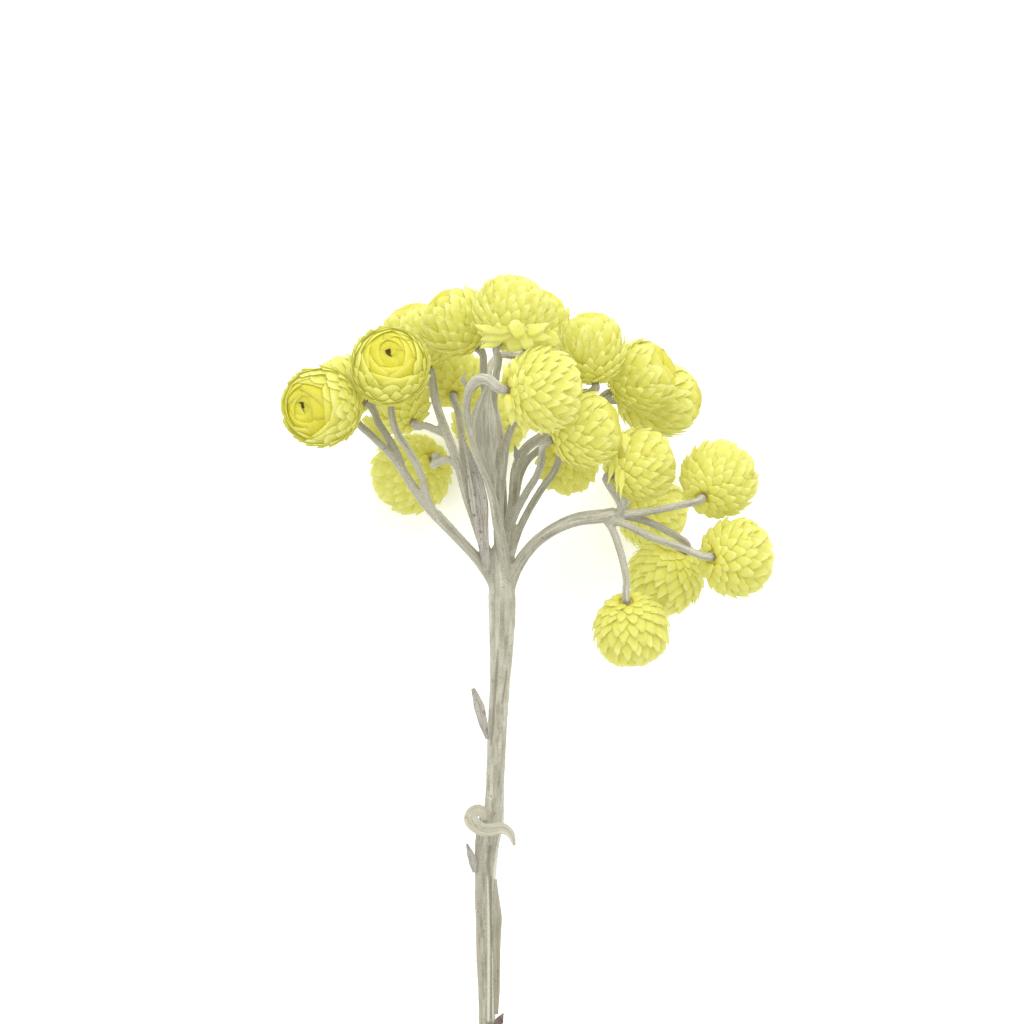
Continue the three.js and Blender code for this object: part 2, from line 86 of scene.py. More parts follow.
class Wire:
    """One output socket. Arithmetic on it adds Math nodes to its tree."""

    def __init__(self, graph: Graph, socket: bpy.types.NodeSocket) -> None:
        """Wraps a socket of a graph's tree.

        Args:
            graph: the graph that the socket is in.
            socket: an output socket.
        """
        self.graph = graph
        self.socket = socket

    def __add__(self, other: Input) -> Wire:
        """Returns the sum."""
        return self.graph.maths("ADD", self, other)

    def __radd__(self, other: Input) -> Wire:
        """Returns the sum."""
        return self.graph.maths("ADD", other, self)

    def __sub__(self, other: Input) -> Wire:
        """Returns the difference."""
        return self.graph.maths("SUBTRACT", self, other)

    def __rsub__(self, other: Input) -> Wire:
        """Returns what is left of other."""
        return self.graph.maths("SUBTRACT", other, self)

    def __mul__(self, other: Input) -> Wire:
        """Returns the product."""
        return self.graph.maths("MULTIPLY", self, other)

    def __rmul__(self, other: Input) -> Wire:
        """Returns the product."""
        return self.graph.maths("MULTIPLY", other, self)

    def __truediv__(self, other: Input) -> Wire:
        """Returns the quotient."""
        return self.graph.maths("DIVIDE", self, other)

    def __rtruediv__(self, other: Input) -> Wire:
        """Returns other over this."""
        return self.graph.maths("DIVIDE", other, self)


class Graph:
    """A material's or a geometry group's tree, with one way to add any node."""

    def __init__(self, tree: bpy.types.NodeTree) -> None:
        """Wraps a tree.

        Args:
            tree: the node tree to add to.
        """
        self.tree = tree

    def add(self, kind: str, settings: dict, inputs: dict, output: Union[int, str] = 0) -> Wire:
        """Adds a node.

        Args:
            kind: the node's type name.
            settings: properties set first. "points" fills a float curve.
            inputs: values or wires by a socket's name or number.
            output: the output socket to return, by name or number.

        Returns:
            The chosen output.
        """
        node = self.tree.nodes.new(kind)
        for name, value in settings.items():
            if name == "points":
                self._fill_curve(node, value)
            else:
                setattr(node, name, value)
        for key, value in inputs.items():
            self._feed(self._socket(node.inputs, key), value)
        return Wire(self, self._socket(node.outputs, output))

    def outputs(self, wire: Wire, *names: str) -> list[Wire]:
        """Returns other outputs of the node that a wire leaves."""
        return [Wire(self, wire.socket.node.outputs[name]) for name in names]

    @staticmethod
    def _socket(sockets: bpy.types.NodeInputs, key: Union[int, str]) -> bpy.types.NodeSocket:
        """Returns a socket by its number, or by its name among those that the settings leave in use."""
        if isinstance(key, int):
            return sockets[key]
        return next((socket for socket in sockets if socket.enabled and socket.name == key), sockets[key])

    def _feed(self, socket: bpy.types.NodeSocket, value: Input) -> None:
        """Links a wire to a socket, or several to a socket that takes several, or sets its value."""
        if isinstance(value, list):
            for wire in value:
                self.tree.links.new(wire.socket, socket)
        elif isinstance(value, Wire):
            self.tree.links.new(value.socket, socket)
        else:
            socket.default_value = value

    @staticmethod
    def _fill_curve(node: bpy.types.Node, points: Curve) -> None:
        """Gives a float curve its points."""
        curve = node.mapping.curves[0]
        while len(curve.points) < len(points):
            curve.points.new(0.5, 0.5)
        for point, place in zip(curve.points, points):
            point.location = place
        node.mapping.update()

    def maths(self, operation: str, *values: Input) -> Wire:
        """Returns the result of a Math node.

        Args:
            operation: the node's operation.
            values: one to three values or wires.

        Returns:
            The node's output.
        """
        return self.add("ShaderNodeMath", {"operation": operation}, dict(enumerate(values)))

    def vector(self, x: Input, y: Input, z: Input) -> Wire:
        """Returns a vector of three values."""
        return self.add("ShaderNodeCombineXYZ", {}, {"X": x, "Y": y, "Z": z})

    def vector_maths(self, operation: str, first: Input, second: Input) -> Wire:
        """Returns the result of a Vector Math node on two vectors."""
        return self.add("ShaderNodeVectorMath", {"operation": operation}, {0: first, 1: second})

    def scaled(self, vector: Wire, factor: Input) -> Wire:
        """Returns a vector times a number."""
        settings = {"operation": "SCALE"}
        return self.add("ShaderNodeVectorMath", settings, {"Vector": vector, "Scale": factor})

    def between(self, value: Wire, low: float, high: float) -> Wire:
        """Returns 0 below low and 1 above high, with a smooth step between."""
        settings = {"interpolation_type": "SMOOTHSTEP"}
        return self.add("ShaderNodeMapRange", settings, {"Value": value, "From Min": low, "From Max": high})

    def noise(self, vector: Wire, scale: float, detail: float, rough: float = 0.5) -> Wire:
        """Returns a noise from 0 to 1 over a vector."""
        inputs = {"Vector": vector, "Scale": scale, "Detail": detail, "Roughness": rough}
        return self.add("ShaderNodeTexNoise", {}, inputs)

    def skin_place(self, around: Wire, lengthways: Wire, pace: float) -> Wire:
        """Returns a place on a stalk's skin that changes slowly along it.

        Args:
            around: the unit vector from the stalk's middle to its skin.
            lengthways: metres along the stalk.
            pace: how far a metre along it counts.

        Returns:
            A vector for a noise.
        """
        return self.vector_maths("ADD", around, self.vector(0.0, 0.0, lengthways * pace))

    def mix_colour(self, factor: Input, first: Union[Wire, Colour], second: Union[Wire, Colour]) -> Wire:
        """Returns a mix of two colours."""
        tints = [c if isinstance(c, Wire) else (*c, 1.0) for c in (first, second)]
        inputs = {"Factor": factor, "A": tints[0], "B": tints[1]}
        return self.add("ShaderNodeMix", {"data_type": "RGBA"}, inputs, "Result")

    def bumped(self, height: Wire, strength: float, distance: float) -> Wire:
        """Returns the normal that a height gives the surface, in a material."""
        inputs = {"Strength": strength, "Distance": distance, "Height": height}
        return self.add("ShaderNodeBump", {}, inputs)

    def profile(self, share: Wire, curve: Curve) -> Wire:
        """Returns a curve's value at a share from 0 to 1.

        Args:
            share: where to read the curve.
            curve: pairs of share and value, in any unit.

        Returns:
            The value, in the curve's unit.
        """
        values = [value for _, value in curve]
        low, span = min(values), (max(values) - min(values)) or 1.0
        points = tuple((place, (value - low) / span) for place, value in curve)
        read = self.add("ShaderNodeFloatCurve", {"points": points}, {"Value": share})
        return read * span + low

    def store(self, geometry: Wire, name: str, value: Input, kind: str = "FLOAT") -> Wire:
        """Returns geometry whose points hold a named value, in a geometry group."""
        inputs = {"Geometry": geometry, "Name": name, "Value": value}
        return self.add("GeometryNodeStoreNamedAttribute", {"data_type": kind, "domain": "POINT"}, inputs)

    def held(self, name: str, kind: str = "FLOAT") -> Wire:
        """Returns a named value of the geometry's points, in a geometry group."""
        return self.add("GeometryNodeInputNamedAttribute", {"data_type": kind}, {"Name": name}, "Attribute")

    def stored(self, name: str, output: str = "Fac") -> Wire:
        """Returns a named value of the mesh, in a material."""
        return self.add("ShaderNodeAttribute", {"attribute_name": name}, {}, output)


# Finishes.


class Slot(Enum):
    """Names of the material slots."""

    STEM = "felted_stem"
    BRACT = "yellow_bract"
    FELT = "felted_leaf"
    PALE = "pale_leaf"
    WITHERED = "withered_leaf"


@dataclass(frozen=True)
class BractFinish:
    """Thin papery yellow, with paler margins under a painted highlight at its edges, painted shade in deep
    ochre where it is rooted under the bracts over it, and a painted glow.
    """

    body: Colour = (0.395, 0.388, 0.076)
    # a paler thin margin, with a painted highlight along it
    edge: Colour = (0.445, 0.445, 0.15)
    # painted shade: the deep ochre at each bract's root, where the bracts over it cover it
    root: Colour = (0.365, 0.333, 0.035)
    crown: Colour = (0.362, 0.33, 0.01)
    cup: Colour = (0.17, 0.14, 0.08)
    dimple: Colour = (0.10, 0.07, 0.015)
    roughness: float = 0.58
    glow: float = 0.25
    depth: float = 0.8 * MM
    painted_glow: float = 0.58  # painted glow: light of its own, as a share of its colour, standing in for light through the paper and lifting its shade

    # where each colour gives way to the next, as shares
    ROOT_TO_BODY = (0.15, 0.75)  # from a bract's root, in painted shade, to its tip
    TIP_RIM = (0.78, 1.0)
    SIDE_RIM = (0.62, 1.0)  # from a bract's middle to its side
    BODY_TO_CROWN = (0.74, 0.93)  # from a head's base to its dimple
    CUP_TO_ROOT = (0.0005, 0.003)
    CROWN_TO_DIMPLE = (0.955, 0.99)
    # how much of what is under it each colour hides
    CROWN_COVER = 0.9
    EDGE_COVER, EDGE_TONE = 0.3, 0.45  # on every bract, and what its own tone adds
    EDGE_LOSS = 0.7  # what the crown takes off that again
    # what makes the paper lighter or darker, and rougher
    PLAIN_SHADE, BLOTCH_SHADE, TONE_SHADE, VEIN_SHADE = 0.9, 0.16, 0.05, 0.04
    BLOTCH_ROUGHNESS = 0.12
    SHINE = 0.25
    GLOW_REACH = (1.0, 1.0, 0.35)  # how far red, green and blue light go in, over the depth
    VEIN_TURN = 58.0  # radians that the wave of the veins turns across a bract
    BLOTCHES = (900.0, 2.0)  # the noise's scale and detail, as for the grain
    GRAIN = (6000.0, 2.0)
    VEIN_HEIGHT, GRAIN_HEIGHT = 0.4, 0.8
    BUMP_STRENGTH, BUMP = 0.25, 0.03 * MM

    def material(self) -> bpy.types.Material:
        """Returns the finish as a material."""
        graph, surface = new_material("papery_bract")
        across, lengthways = surface_place(graph)
        level = graph.stored("level")
        tone = graph.stored("tone")
        side = graph.maths("ABSOLUTE", across - 0.5) * 2.0
        side_rim, tip_rim = graph.between(side, *self.SIDE_RIM), graph.between(lengthways, *self.TIP_RIM)
        rim = graph.maths("MAXIMUM", side_rim, tip_rim)
        # painted shade: deep ochre at the root, where the bracts over it shade it
        colour = graph.mix_colour(graph.between(lengthways, *self.ROOT_TO_BODY), self.root, self.body)
        crowned = graph.between(level, *self.BODY_TO_CROWN)
        colour = graph.mix_colour(crowned * self.CROWN_COVER, colour, self.crown)
        # the edges: a paler thin margin with a painted highlight over it
        pale_rim_and_highlight = rim * (self.EDGE_COVER + tone * self.EDGE_TONE) * (1 - crowned * self.EDGE_LOSS)
        colour = graph.mix_colour(pale_rim_and_highlight, colour, self.edge)
        colour = graph.mix_colour(1 - graph.between(level, *self.CUP_TO_ROOT), colour, self.cup)
        colour = graph.mix_colour(graph.between(level, *self.CROWN_TO_DIMPLE), colour, self.dimple)
        veins = graph.maths("SINE", across * self.VEIN_TURN) * 0.5 + 0.5
        place = graph.add("ShaderNodeTexCoord", {}, {}, "Object")
        blotch = graph.noise(place, *self.BLOTCHES)
        shade = self.PLAIN_SHADE + blotch * self.BLOTCH_SHADE + tone * self.TONE_SHADE
        colour = graph.scaled(colour, shade - veins * self.VEIN_SHADE)
        height = veins * self.VEIN_HEIGHT + graph.noise(place, *self.GRAIN) * self.GRAIN_HEIGHT
        normal = graph.bumped(height, self.BUMP_STRENGTH, self.BUMP)
        surface.feed(colour, self.roughness + blotch * self.BLOTCH_ROUGHNESS, normal)
        # painted glow: the bract gives off its own colour as light, which brightens its shade
        surface.light_up(colour, self.painted_glow)
        surface.hold("Subsurface Weight", self.glow)
        surface.hold("Subsurface Radius", self.GLOW_REACH)
        surface.hold("Subsurface Scale", self.depth)
        surface.hold("Specular IOR Level", self.SHINE)
        return surface.material


@dataclass(frozen=True)
class FeltFinish:
    """Dry wool-felted skin: pale hair over a darker, olive skin, in streaks along the piece."""

    name: str
    skin: Colour
    wool: Colour
    speck: Colour
    speck_share: float = 0.34
    mottle: float = 0.0  # how much darker the skin is in its broad patches
    roughness: float = 0.86
    # painted glow: light of its own, as a share of the colour, that lightens the shaded stalks
    painted_glow: float = 0.3
    pith: Colour = (0.46, 0.40, 0.25)
    ridge: Optional[Colour] = None  # the colour of the thin raised strands, where the piece has them
    aged: Colour = (1.0, 1.0, 1.0)  # what the colour is multiplied by at the sprig's cut end

    AGED_TO_FRESH = (-42.0 * MM, -18.0 * MM)  # from the cut end to the flowers, along Y of the frame
    STREAK_PACE, BROAD_PACE = 50.0, 60.0  # how far a metre along the piece counts in each
    # each noise's scale, detail and roughness
    STREAKS = (4.2, 5.0, 0.62)
    BROAD_PATCHES = (1.1, 3.0, 0.5)
    FELT_GRAIN = (5200.0, 3.0, 0.65)
    PATCHES = (520.0, 3.0, 0.6)
    DOTS = (1500.0, 2.0, 0.5)
    DOT_EDGE = 0.03
    # how much of the skin the wool hides, by each noise, and how much each colour hides over it
    STREAK_COVER, FELT_COVER, PATCH_COVER = 0.75, 0.25, 0.12
    DOT_COVER = 0.75
    RIDGE_COVER, RIDGE_STREAKS = 0.3, 0.7
    SHADE_LINE_COVER = 0.1
    PITH_COVER = 0.85
    SKIN_TO_WOOL = (0.43, 0.68)
    LIGHT_TO_DARK = (0.42, 0.62)
    SKIN_TO_RIDGE = (0.05, 0.9)
    SKIN_TO_SHADE_LINE = (0.1, 0.9)
    STREAK_HEIGHT, FELT_HEIGHT = 0.9, 0.7
    BUMP_STRENGTH, BUMP = 0.55, 0.09 * MM
    FELT_ROUGHNESS = 0.1
    SHEEN, SHEEN_ROUGHNESS, SHINE = 0.35, 0.6, 0.2

    def material(self) -> bpy.types.Material:
        """Returns the finish as a material."""
        graph, surface = new_material(self.name)
        place = graph.add("ShaderNodeTexCoord", {}, {}, "Object")
        around, along = graph.stored("around", "Vector"), graph.stored("along")
        streak = graph.noise(graph.skin_place(around, along, self.STREAK_PACE), *self.STREAKS)
        felt = graph.noise(place, *self.FELT_GRAIN)
        patch = graph.noise(place, *self.PATCHES)
        cover = streak * self.STREAK_COVER + felt * self.FELT_COVER + patch * self.PATCH_COVER
        colour = graph.mix_colour(graph.between(cover, *self.SKIN_TO_WOOL), self.skin, self.wool)
        low, high = self.speck_share - self.DOT_EDGE, self.speck_share + self.DOT_EDGE
        specks = (1 - graph.between(graph.noise(place, *self.DOTS), low, high)) * self.DOT_COVER
        colour = graph.mix_colour(specks, colour, self.speck)
        broad = graph.noise(graph.skin_place(around, along, self.BROAD_PACE), *self.BROAD_PATCHES)
        colour = graph.scaled(colour, 1 - graph.between(broad, *self.LIGHT_TO_DARK) * self.mottle)
        split = graph.add("ShaderNodeSeparateXYZ", {}, {"Vector": place})
        fresh = graph.between(graph.outputs(split, "Y")[0], *self.AGED_TO_FRESH)
        age = graph.mix_colour(fresh, self.aged, (1.0, 1.0, 1.0))
        colour = graph.vector_maths("MULTIPLY", colour, age)
        if self.ridge:
            raised = graph.between(graph.stored("ridge"), *self.SKIN_TO_RIDGE)
            pale = raised * (self.RIDGE_COVER + streak * self.RIDGE_STREAKS)
            colour = graph.mix_colour(pale, colour, self.ridge)
            # painted shade: dark lines along the grooves between the strands, in colour alone
            shaded_line = graph.between(graph.stored("crease"), *self.SKIN_TO_SHADE_LINE)
            colour = graph.mix_colour(shaded_line * (self.SHADE_LINE_COVER + streak), colour, self.speck)
        colour = graph.mix_colour(graph.stored("cut") * self.PITH_COVER, colour, self.pith)
        height = streak * self.STREAK_HEIGHT + felt * self.FELT_HEIGHT
        normal = graph.bumped(height, self.BUMP_STRENGTH, self.BUMP)
        surface.feed(colour, self.roughness + felt * self.FELT_ROUGHNESS, normal)
        # painted glow, which lightens the felt where it lies in shade
        surface.light_up(colour, self.painted_glow)
        surface.hold("Sheen Weight", self.SHEEN)
        surface.hold("Sheen Roughness", self.SHEEN_ROUGHNESS)
        surface.hold("Specular IOR Level", self.SHINE)
        return surface.material


STEM_FELT = FeltFinish(
    "stem_felt",
    (0.215, 0.20, 0.138), (0.385, 0.374, 0.298), (0.11, 0.09, 0.062),
    0.27,
    0.2,
    ridge=(0.50, 0.49, 0.40),
    aged=(0.80, 0.78, 0.73),
)
LEAF_FELT = FeltFinish(
    "leaf_felt",
    (0.18, 0.16, 0.128), (0.39, 0.37, 0.315), (0.13, 0.105, 0.09),
    0.36,
    0.15,
)
LEAF_PALE = FeltFinish(
    "leaf_pale",
    (0.245, 0.23, 0.165), (0.405, 0.393, 0.315), (0.16, 0.14, 0.105),
    0.30,
    0.15,
    aged=(0.66, 0.64, 0.56),
)
LEAF_BROWN = FeltFinish(
    "leaf_brown",
    (0.055, 0.033, 0.027), (0.15, 0.10, 0.08), (0.02, 0.015, 0.012),
    0.40,
)


class Surface:
    """The shader of one material."""

    def __init__(self, material: bpy.types.Material) -> None:
        """Finds the material's shader.

        Args:
            material: a material with nodes.
        """
        self.material = material
        self.shader = material.node_tree.nodes["Principled BSDF"]

    def feed(self, colour: Wire, roughness: Wire, normal: Wire) -> None:
        """Links what changes over the surface.

        Args:
            colour: the base colour.
            roughness: the roughness.
            normal: the bumped normal.
        """
        links = self.material.node_tree.links
        for name, wire in (("Base Color", colour), ("Roughness", roughness), ("Normal", normal)):
            links.new(wire.socket, self.shader.inputs[name])

    def light_up(self, colour: Wire, strength: float) -> None:
        """Gives the surface light of its own."""
        self.material.node_tree.links.new(colour.socket, self.shader.inputs["Emission Color"])
        self.hold("Emission Strength", strength)

    def hold(self, name: str, value: Union[float, Colour]) -> None:
        """Sets a constant on the shader."""
        self.shader.inputs[name].default_value = value


def new_material(name: str) -> tuple[Graph, Surface]:
    """Makes a material.

    Args:
        name: its name.

    Returns:
        Its graph and its surface.
    """
    material = bpy.data.materials.new(name)
    material.use_nodes = True
    material.cycles.emission_sampling = "NONE"
    return Graph(material.node_tree), Surface(material)


def surface_place(graph: Graph) -> list[Wire]:
    """Returns how far across and how far along its blade a point lies, from 0 to 1."""
    uv = graph.add("ShaderNodeUVMap", {"uv_map": "blade"}, {})
    split = graph.add("ShaderNodeSeparateXYZ", {}, {"Vector": uv})
    return graph.outputs(split, "X", "Y")


# Meshes.


def to_frame(point: Point) -> Vector:
    """Returns a point of the sprig's own coordinates in the frame, in metres."""
    return (Vector(point) - BOX_MIDDLE) * MM


def pressed(height: float) -> float:
    """Returns a height in metres, with what would reach into the table pressed thin on it."""
    limit = TABLE_PRESS * MM
    if height >= limit:
        return height
    return limit * math.exp((height - limit) / limit)


def object_of(name: str, shape: Union[bpy.types.Mesh, bpy.types.Curve]) -> bpy.types.Object:
    """Links a mesh or a curve to the scene as an object at the origin.

    Args:
        name: the object's name.
        shape: its mesh or curve.

    Returns:
        The object.
    """
    made = bpy.data.objects.new(name, shape)
    bpy.context.scene.collection.objects.link(made)
    return made


def remove(made: bpy.types.Object) -> None:
    """Removes an object that was only a help."""
    bpy.data.objects.remove(made, do_unlink=True)


def plain_mesh(made: bpy.types.Object, name: str) -> bpy.types.Mesh:
    """Returns an object's mesh as its modifiers leave it."""
    bpy.context.view_layer.update()
    graph = bpy.context.evaluated_depsgraph_get()
    mesh = bpy.data.meshes.new_from_object(made.evaluated_get(graph), depsgraph=graph)
    mesh.name = name
    return mesh


def settle(mesh: bpy.types.Mesh) -> None:
    """Presses a mesh on the table and shades it smooth."""
    for vertex in mesh.vertices:
        vertex.co.z = pressed(vertex.co.z)
    mesh.shade_smooth()


def dress(piece: bpy.types.Object, slot: Slot, nodes: Iterable[str]) -> None:
    """Ties a finished piece to the frame.

    Args:
        piece: the piece.
        slot: not used.
        nodes: the CAD nodes that it stands for.
    """
    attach(piece, BODY)
    names = list(nodes)
    if names:
        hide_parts(*names)
    triangles = sum(len(face.vertices) - 2 for face in piece.data.polygons)
    LOG.info("%s: %d triangles", piece.name, triangles)


@dataclass
class Sheet:
    """A thin closed sheet over a grid: u runs across it and v from its root to its tip."""

    place: Callable[[float, float], Vector]
    thickness: Callable[[float, float], float]
    across: int
    lengthways: int
    length: float = 1.0

    def _normal(self, u: float, v: float) -> Vector:
        """Returns the sheet's outward normal at a place on it."""
        step = 0.01
        side = self.place(min(u + step, 1), v) - self.place(max(u - step, 0), v)
        rise = self.place(u, min(v + step, 1)) - self.place(u, max(v - step, 0))
        return side.cross(rise).normalized()

    def mesh(self, name: str) -> bpy.types.Mesh:
        """Builds the sheet.

        Args:
            name: the mesh's name.

        Returns:
            A closed mesh with a UV map and the numbers that its finish reads.
        """
        rows, columns = range(self.lengthways + 1), range(self.across + 1)
        grid = [(i / self.across, j / self.lengthways) for j in rows for i in columns]
        half = [self._normal(u, v) * (self.thickness(u, v) / 2) for u, v in grid]
        middle = [self.place(u, v) for u, v in grid]
        front = [p + h for p, h in zip(middle, half)]
        back = [p - h for p, h in zip(middle, half)]
        faces = self._faces(len(grid))
        mesh = bpy.data.meshes.new(name)
        mesh.from_pydata(front + back, [], faces)
        places = grid + grid
        layer = mesh.uv_layers.new(name="blade")
        for loop in mesh.loops:
            layer.data[loop.index].uv = places[loop.vertex_index]
        turns = [(math.cos(math.pi * u), math.sin(math.pi * u), 0.0) for u, _ in places]
        store(mesh, "around", turns, "FLOAT_VECTOR")
        store(mesh, "along", [v * self.length for _, v in places])
        mesh.update()
        return mesh

    def _faces(self, size: int) -> list[tuple[int, ...]]:
        """Returns the faces of both sides and of the rim.

        Args:
            size: the number of points on one side.

        Returns:
            Corner numbers of each face, in order round it as seen from outside.
        """
        wide = self.across + 1
        faces = []
        for j in range(self.lengthways):
            for i in range(self.across):
                a = j * wide + i
                faces.append((a, a + 1, a + 1 + wide, a + wide))
                faces.append((size + a, size + a + wide, size + a + 1 + wide, size + a + 1))
        bottom = list(range(wide))
        right = [j * wide + self.across for j in range(self.lengthways + 1)]
        top = [self.lengthways * wide + i for i in range(self.across, -1, -1)]
        left = [j * wide for j in range(self.lengthways, -1, -1)]
        for edge in (bottom, right, top, left):
            faces.extend((b, a, a + size, b + size) for a, b in zip(edge, edge[1:]))
        return faces


def store(mesh: bpy.types.Mesh, name: str, values: Sequence, kind: str = "FLOAT") -> None:
    """Stores a number or a vector for each point of a mesh."""
    attribute = mesh.attributes.new(name, kind, "POINT")
    for item, value in zip(attribute.data, values):
        setattr(item, "vector" if kind == "FLOAT_VECTOR" else "value", value)


def read(values: Sequence[float], share: float) -> float:
    """Returns the value at a share of a list's length."""
    place = min(max(share, 0.0), 1.0) * (len(values) - 1)
    index = min(int(place), len(values) - 2)
    return values[index] + (values[index + 1] - values[index]) * (place - index)


def smooth_line(route: Sequence[Point], detail: int = LINE_DETAIL) -> list[Vector]:
    """Runs a smooth line through points, in the way of a centripetal spline.

    Args:
        route: the points, in millimetres.
        detail: the number of places worked out from one point to the next.

    Returns:
        Close points along the line, in the frame.
    """
    knots = [to_frame(point) for point in route]
    knots = [knots[0] * 2 - knots[1], *knots, knots[-1] * 2 - knots[-2]]
    line = [knots[1]]
    for before, start, end, after in zip(knots, knots[1:], knots[2:], knots[3:]):
        spans = (start - before, end - start, after - end)
        first, gap, last = (math.sqrt(span.length) for span in spans)
        leave = spans[0] / first - (end - before) / (first + gap) + spans[1] / gap
        reach = spans[1] / gap - (after - start) / (gap + last) + spans[2] / last
        handles = (start + leave * gap / 3, end - reach * gap / 3)
        line.extend(interpolate_bezier(start, *handles, end, detail)[1:])
    return line


def shares(line: Sequence[Vector]) -> tuple[list[float], float]:
    """Returns how far along a line each point is, from 0 to 1, and the line's length."""
    reached = [0.0]
    for start, end in zip(line, line[1:]):
        reached.append(reached[-1] + (end - start).length)
    return [value / reached[-1] for value in reached], reached[-1]


# The heads.


@dataclass(frozen=True)
class BractShape:
    """One bract of unit length and width, from its root at the origin to its tip at +Y.

    Its heights are in millimetres.
    """

    widest: float
    tip_width: float
    point: float
    rounding: float
    cup: float
    flick: float
    columns: int = 4
    rows: int = 5
    thickness: float = 0.06

    TIP_START = 0.55
    ROOT_WIDTH = 0.6  # as a share of the width where the bract is widest
    FALL = 2.2  # how late the width falls off towards the tip
    THIN_TIP = 0.6

    def half_width(self, v: float) -> float:
        """Returns half the width at a share of the length."""
        rise = min(1.0, v / self.widest)
        fall = max(0.0, (v - self.widest) / (1 - self.widest))
        base = self.ROOT_WIDTH + (1 - self.ROOT_WIDTH) * math.sin(rise * math.pi / 2)
        return 0.5 * base * (1 - (1 - self.tip_width) * fall**self.FALL)

    def place(self, u: float, v: float) -> Vector:
        """Returns a point of the bract's middle layer."""
        side = 2 * u - 1
        tip = max(0.0, v - self.TIP_START) / (1 - self.TIP_START)
        drawn_back = (1 - abs(side) ** self.rounding) * self.point * tip
        height = self.flick * tip**1.5 - self.cup * side * side
        return Vector((side * self.half_width(v), v * (1 - self.point) + drawn_back, height))

    def mesh(self, name: str) -> bpy.types.Mesh:
        """Returns the bract as a closed mesh."""

        def thickness(_: float, v: float) -> float:
            """Returns the thickness, which thins out to the tip."""
            return self.thickness * (1 - self.THIN_TIP * v)

        return Sheet(self.place, thickness, self.columns, self.rows).mesh(name)


class BractForm(Enum):
    """The forms of bract on a head, from its base to its crown, and the levels that each one fills."""

    SCALE = (BractShape(0.50, 0.72, 0.34, 2.0, 0.07, 0.05), 0.0, 0.12)
    LOWER = (BractShape(0.50, 0.60, 0.36, 1.9, 0.10, 0.08), 0.12, 0.40)
    MIDDLE = (BractShape(0.50, 0.42, 0.38, 1.5, 0.08, 0.22), 0.40, 0.74)
    UPPER = (BractShape(0.54, 0.55, 0.27, 1.6, 0.05, 0.12), 0.74, 0.87)
    CROWN = (BractShape(0.66, 0.84, 0.14, 2.0, 0.02, 0.0, columns=8), 0.87, 1.01)

    @property
    def shape(self) -> BractShape:
        """Returns the form's shape."""
        return self.value[0]

    @property
    def levels(self) -> tuple[float, float]:
        """Returns the lowest and highest level that the form fills."""
        return self.value[1], self.value[2]


class GeometryGroup:
    """A geometry group with named inputs, and the run of it on an object."""

    STREAMS = 16  # streams of random numbers that one seed has

    def __init__(self, name: str, inputs: dict[str, str]) -> None:
        """Makes the group.

        Args:
            name: the group's name.
            inputs: the kind of socket of each named input.
        """
        self.group = bpy.data.node_groups.new(name, "GeometryNodeTree")
        self.graph = Graph(self.group)
        face = self.group.interface
        for label, kind in {"Geometry": "Geometry", **inputs}.items():
            face.new_socket(label, in_out="INPUT", socket_type="NodeSocket" + kind)
        face.new_socket("Geometry", in_out="OUTPUT", socket_type="NodeSocketGeometry")
        source = self.group.nodes.new("NodeGroupInput")
        self.inputs = {socket.name: Wire(self.graph, socket) for socket in source.outputs if socket.name}

    def end(self, geometry: Wire, finish: bpy.types.Material) -> None:
        """Realizes and dresses what the group made, and hands it out."""
        graph = self.graph
        realized = graph.add("GeometryNodeRealizeInstances", {}, {"Geometry": geometry})
        dressed = graph.add("GeometryNodeSetMaterial", {}, {"Geometry": realized, "Material": finish})
        target = self.group.nodes.new("NodeGroupOutput")
        self.group.links.new(dressed.socket, target.inputs[0])

    def random(self, stream: int, low: float, high: float) -> Wire:
        """Returns a random number for each element, from a stream of its own."""
        inputs = {"Min": low, "Max": high, "Seed": self.inputs["Seed"] * self.STREAMS + stream}
        return self.graph.add("FunctionNodeRandomValue", {"data_type": "FLOAT"}, inputs, "Value")

    def run(self, source: bpy.types.Object, name: str, values: dict[str, Input]) -> bpy.types.Mesh:
        """Runs the group on an object, and removes the object.

        Args:
            source: the object whose geometry goes in.
            name: the name of the mesh that comes out.
            values: the inputs' values by name.

        Returns:
            The result as a plain mesh.
        """
        identifiers = {i.name: i.identifier for i in self.group.interface.items_tree if i.in_out == "INPUT"}
        modifier = source.modifiers.new(self.group.name, "NODES")
        modifier.node_group = self.group
        for label, value in values.items():
            modifier[identifiers[label]] = value
        mesh = plain_mesh(source, name)
        remove(source)
        return mesh


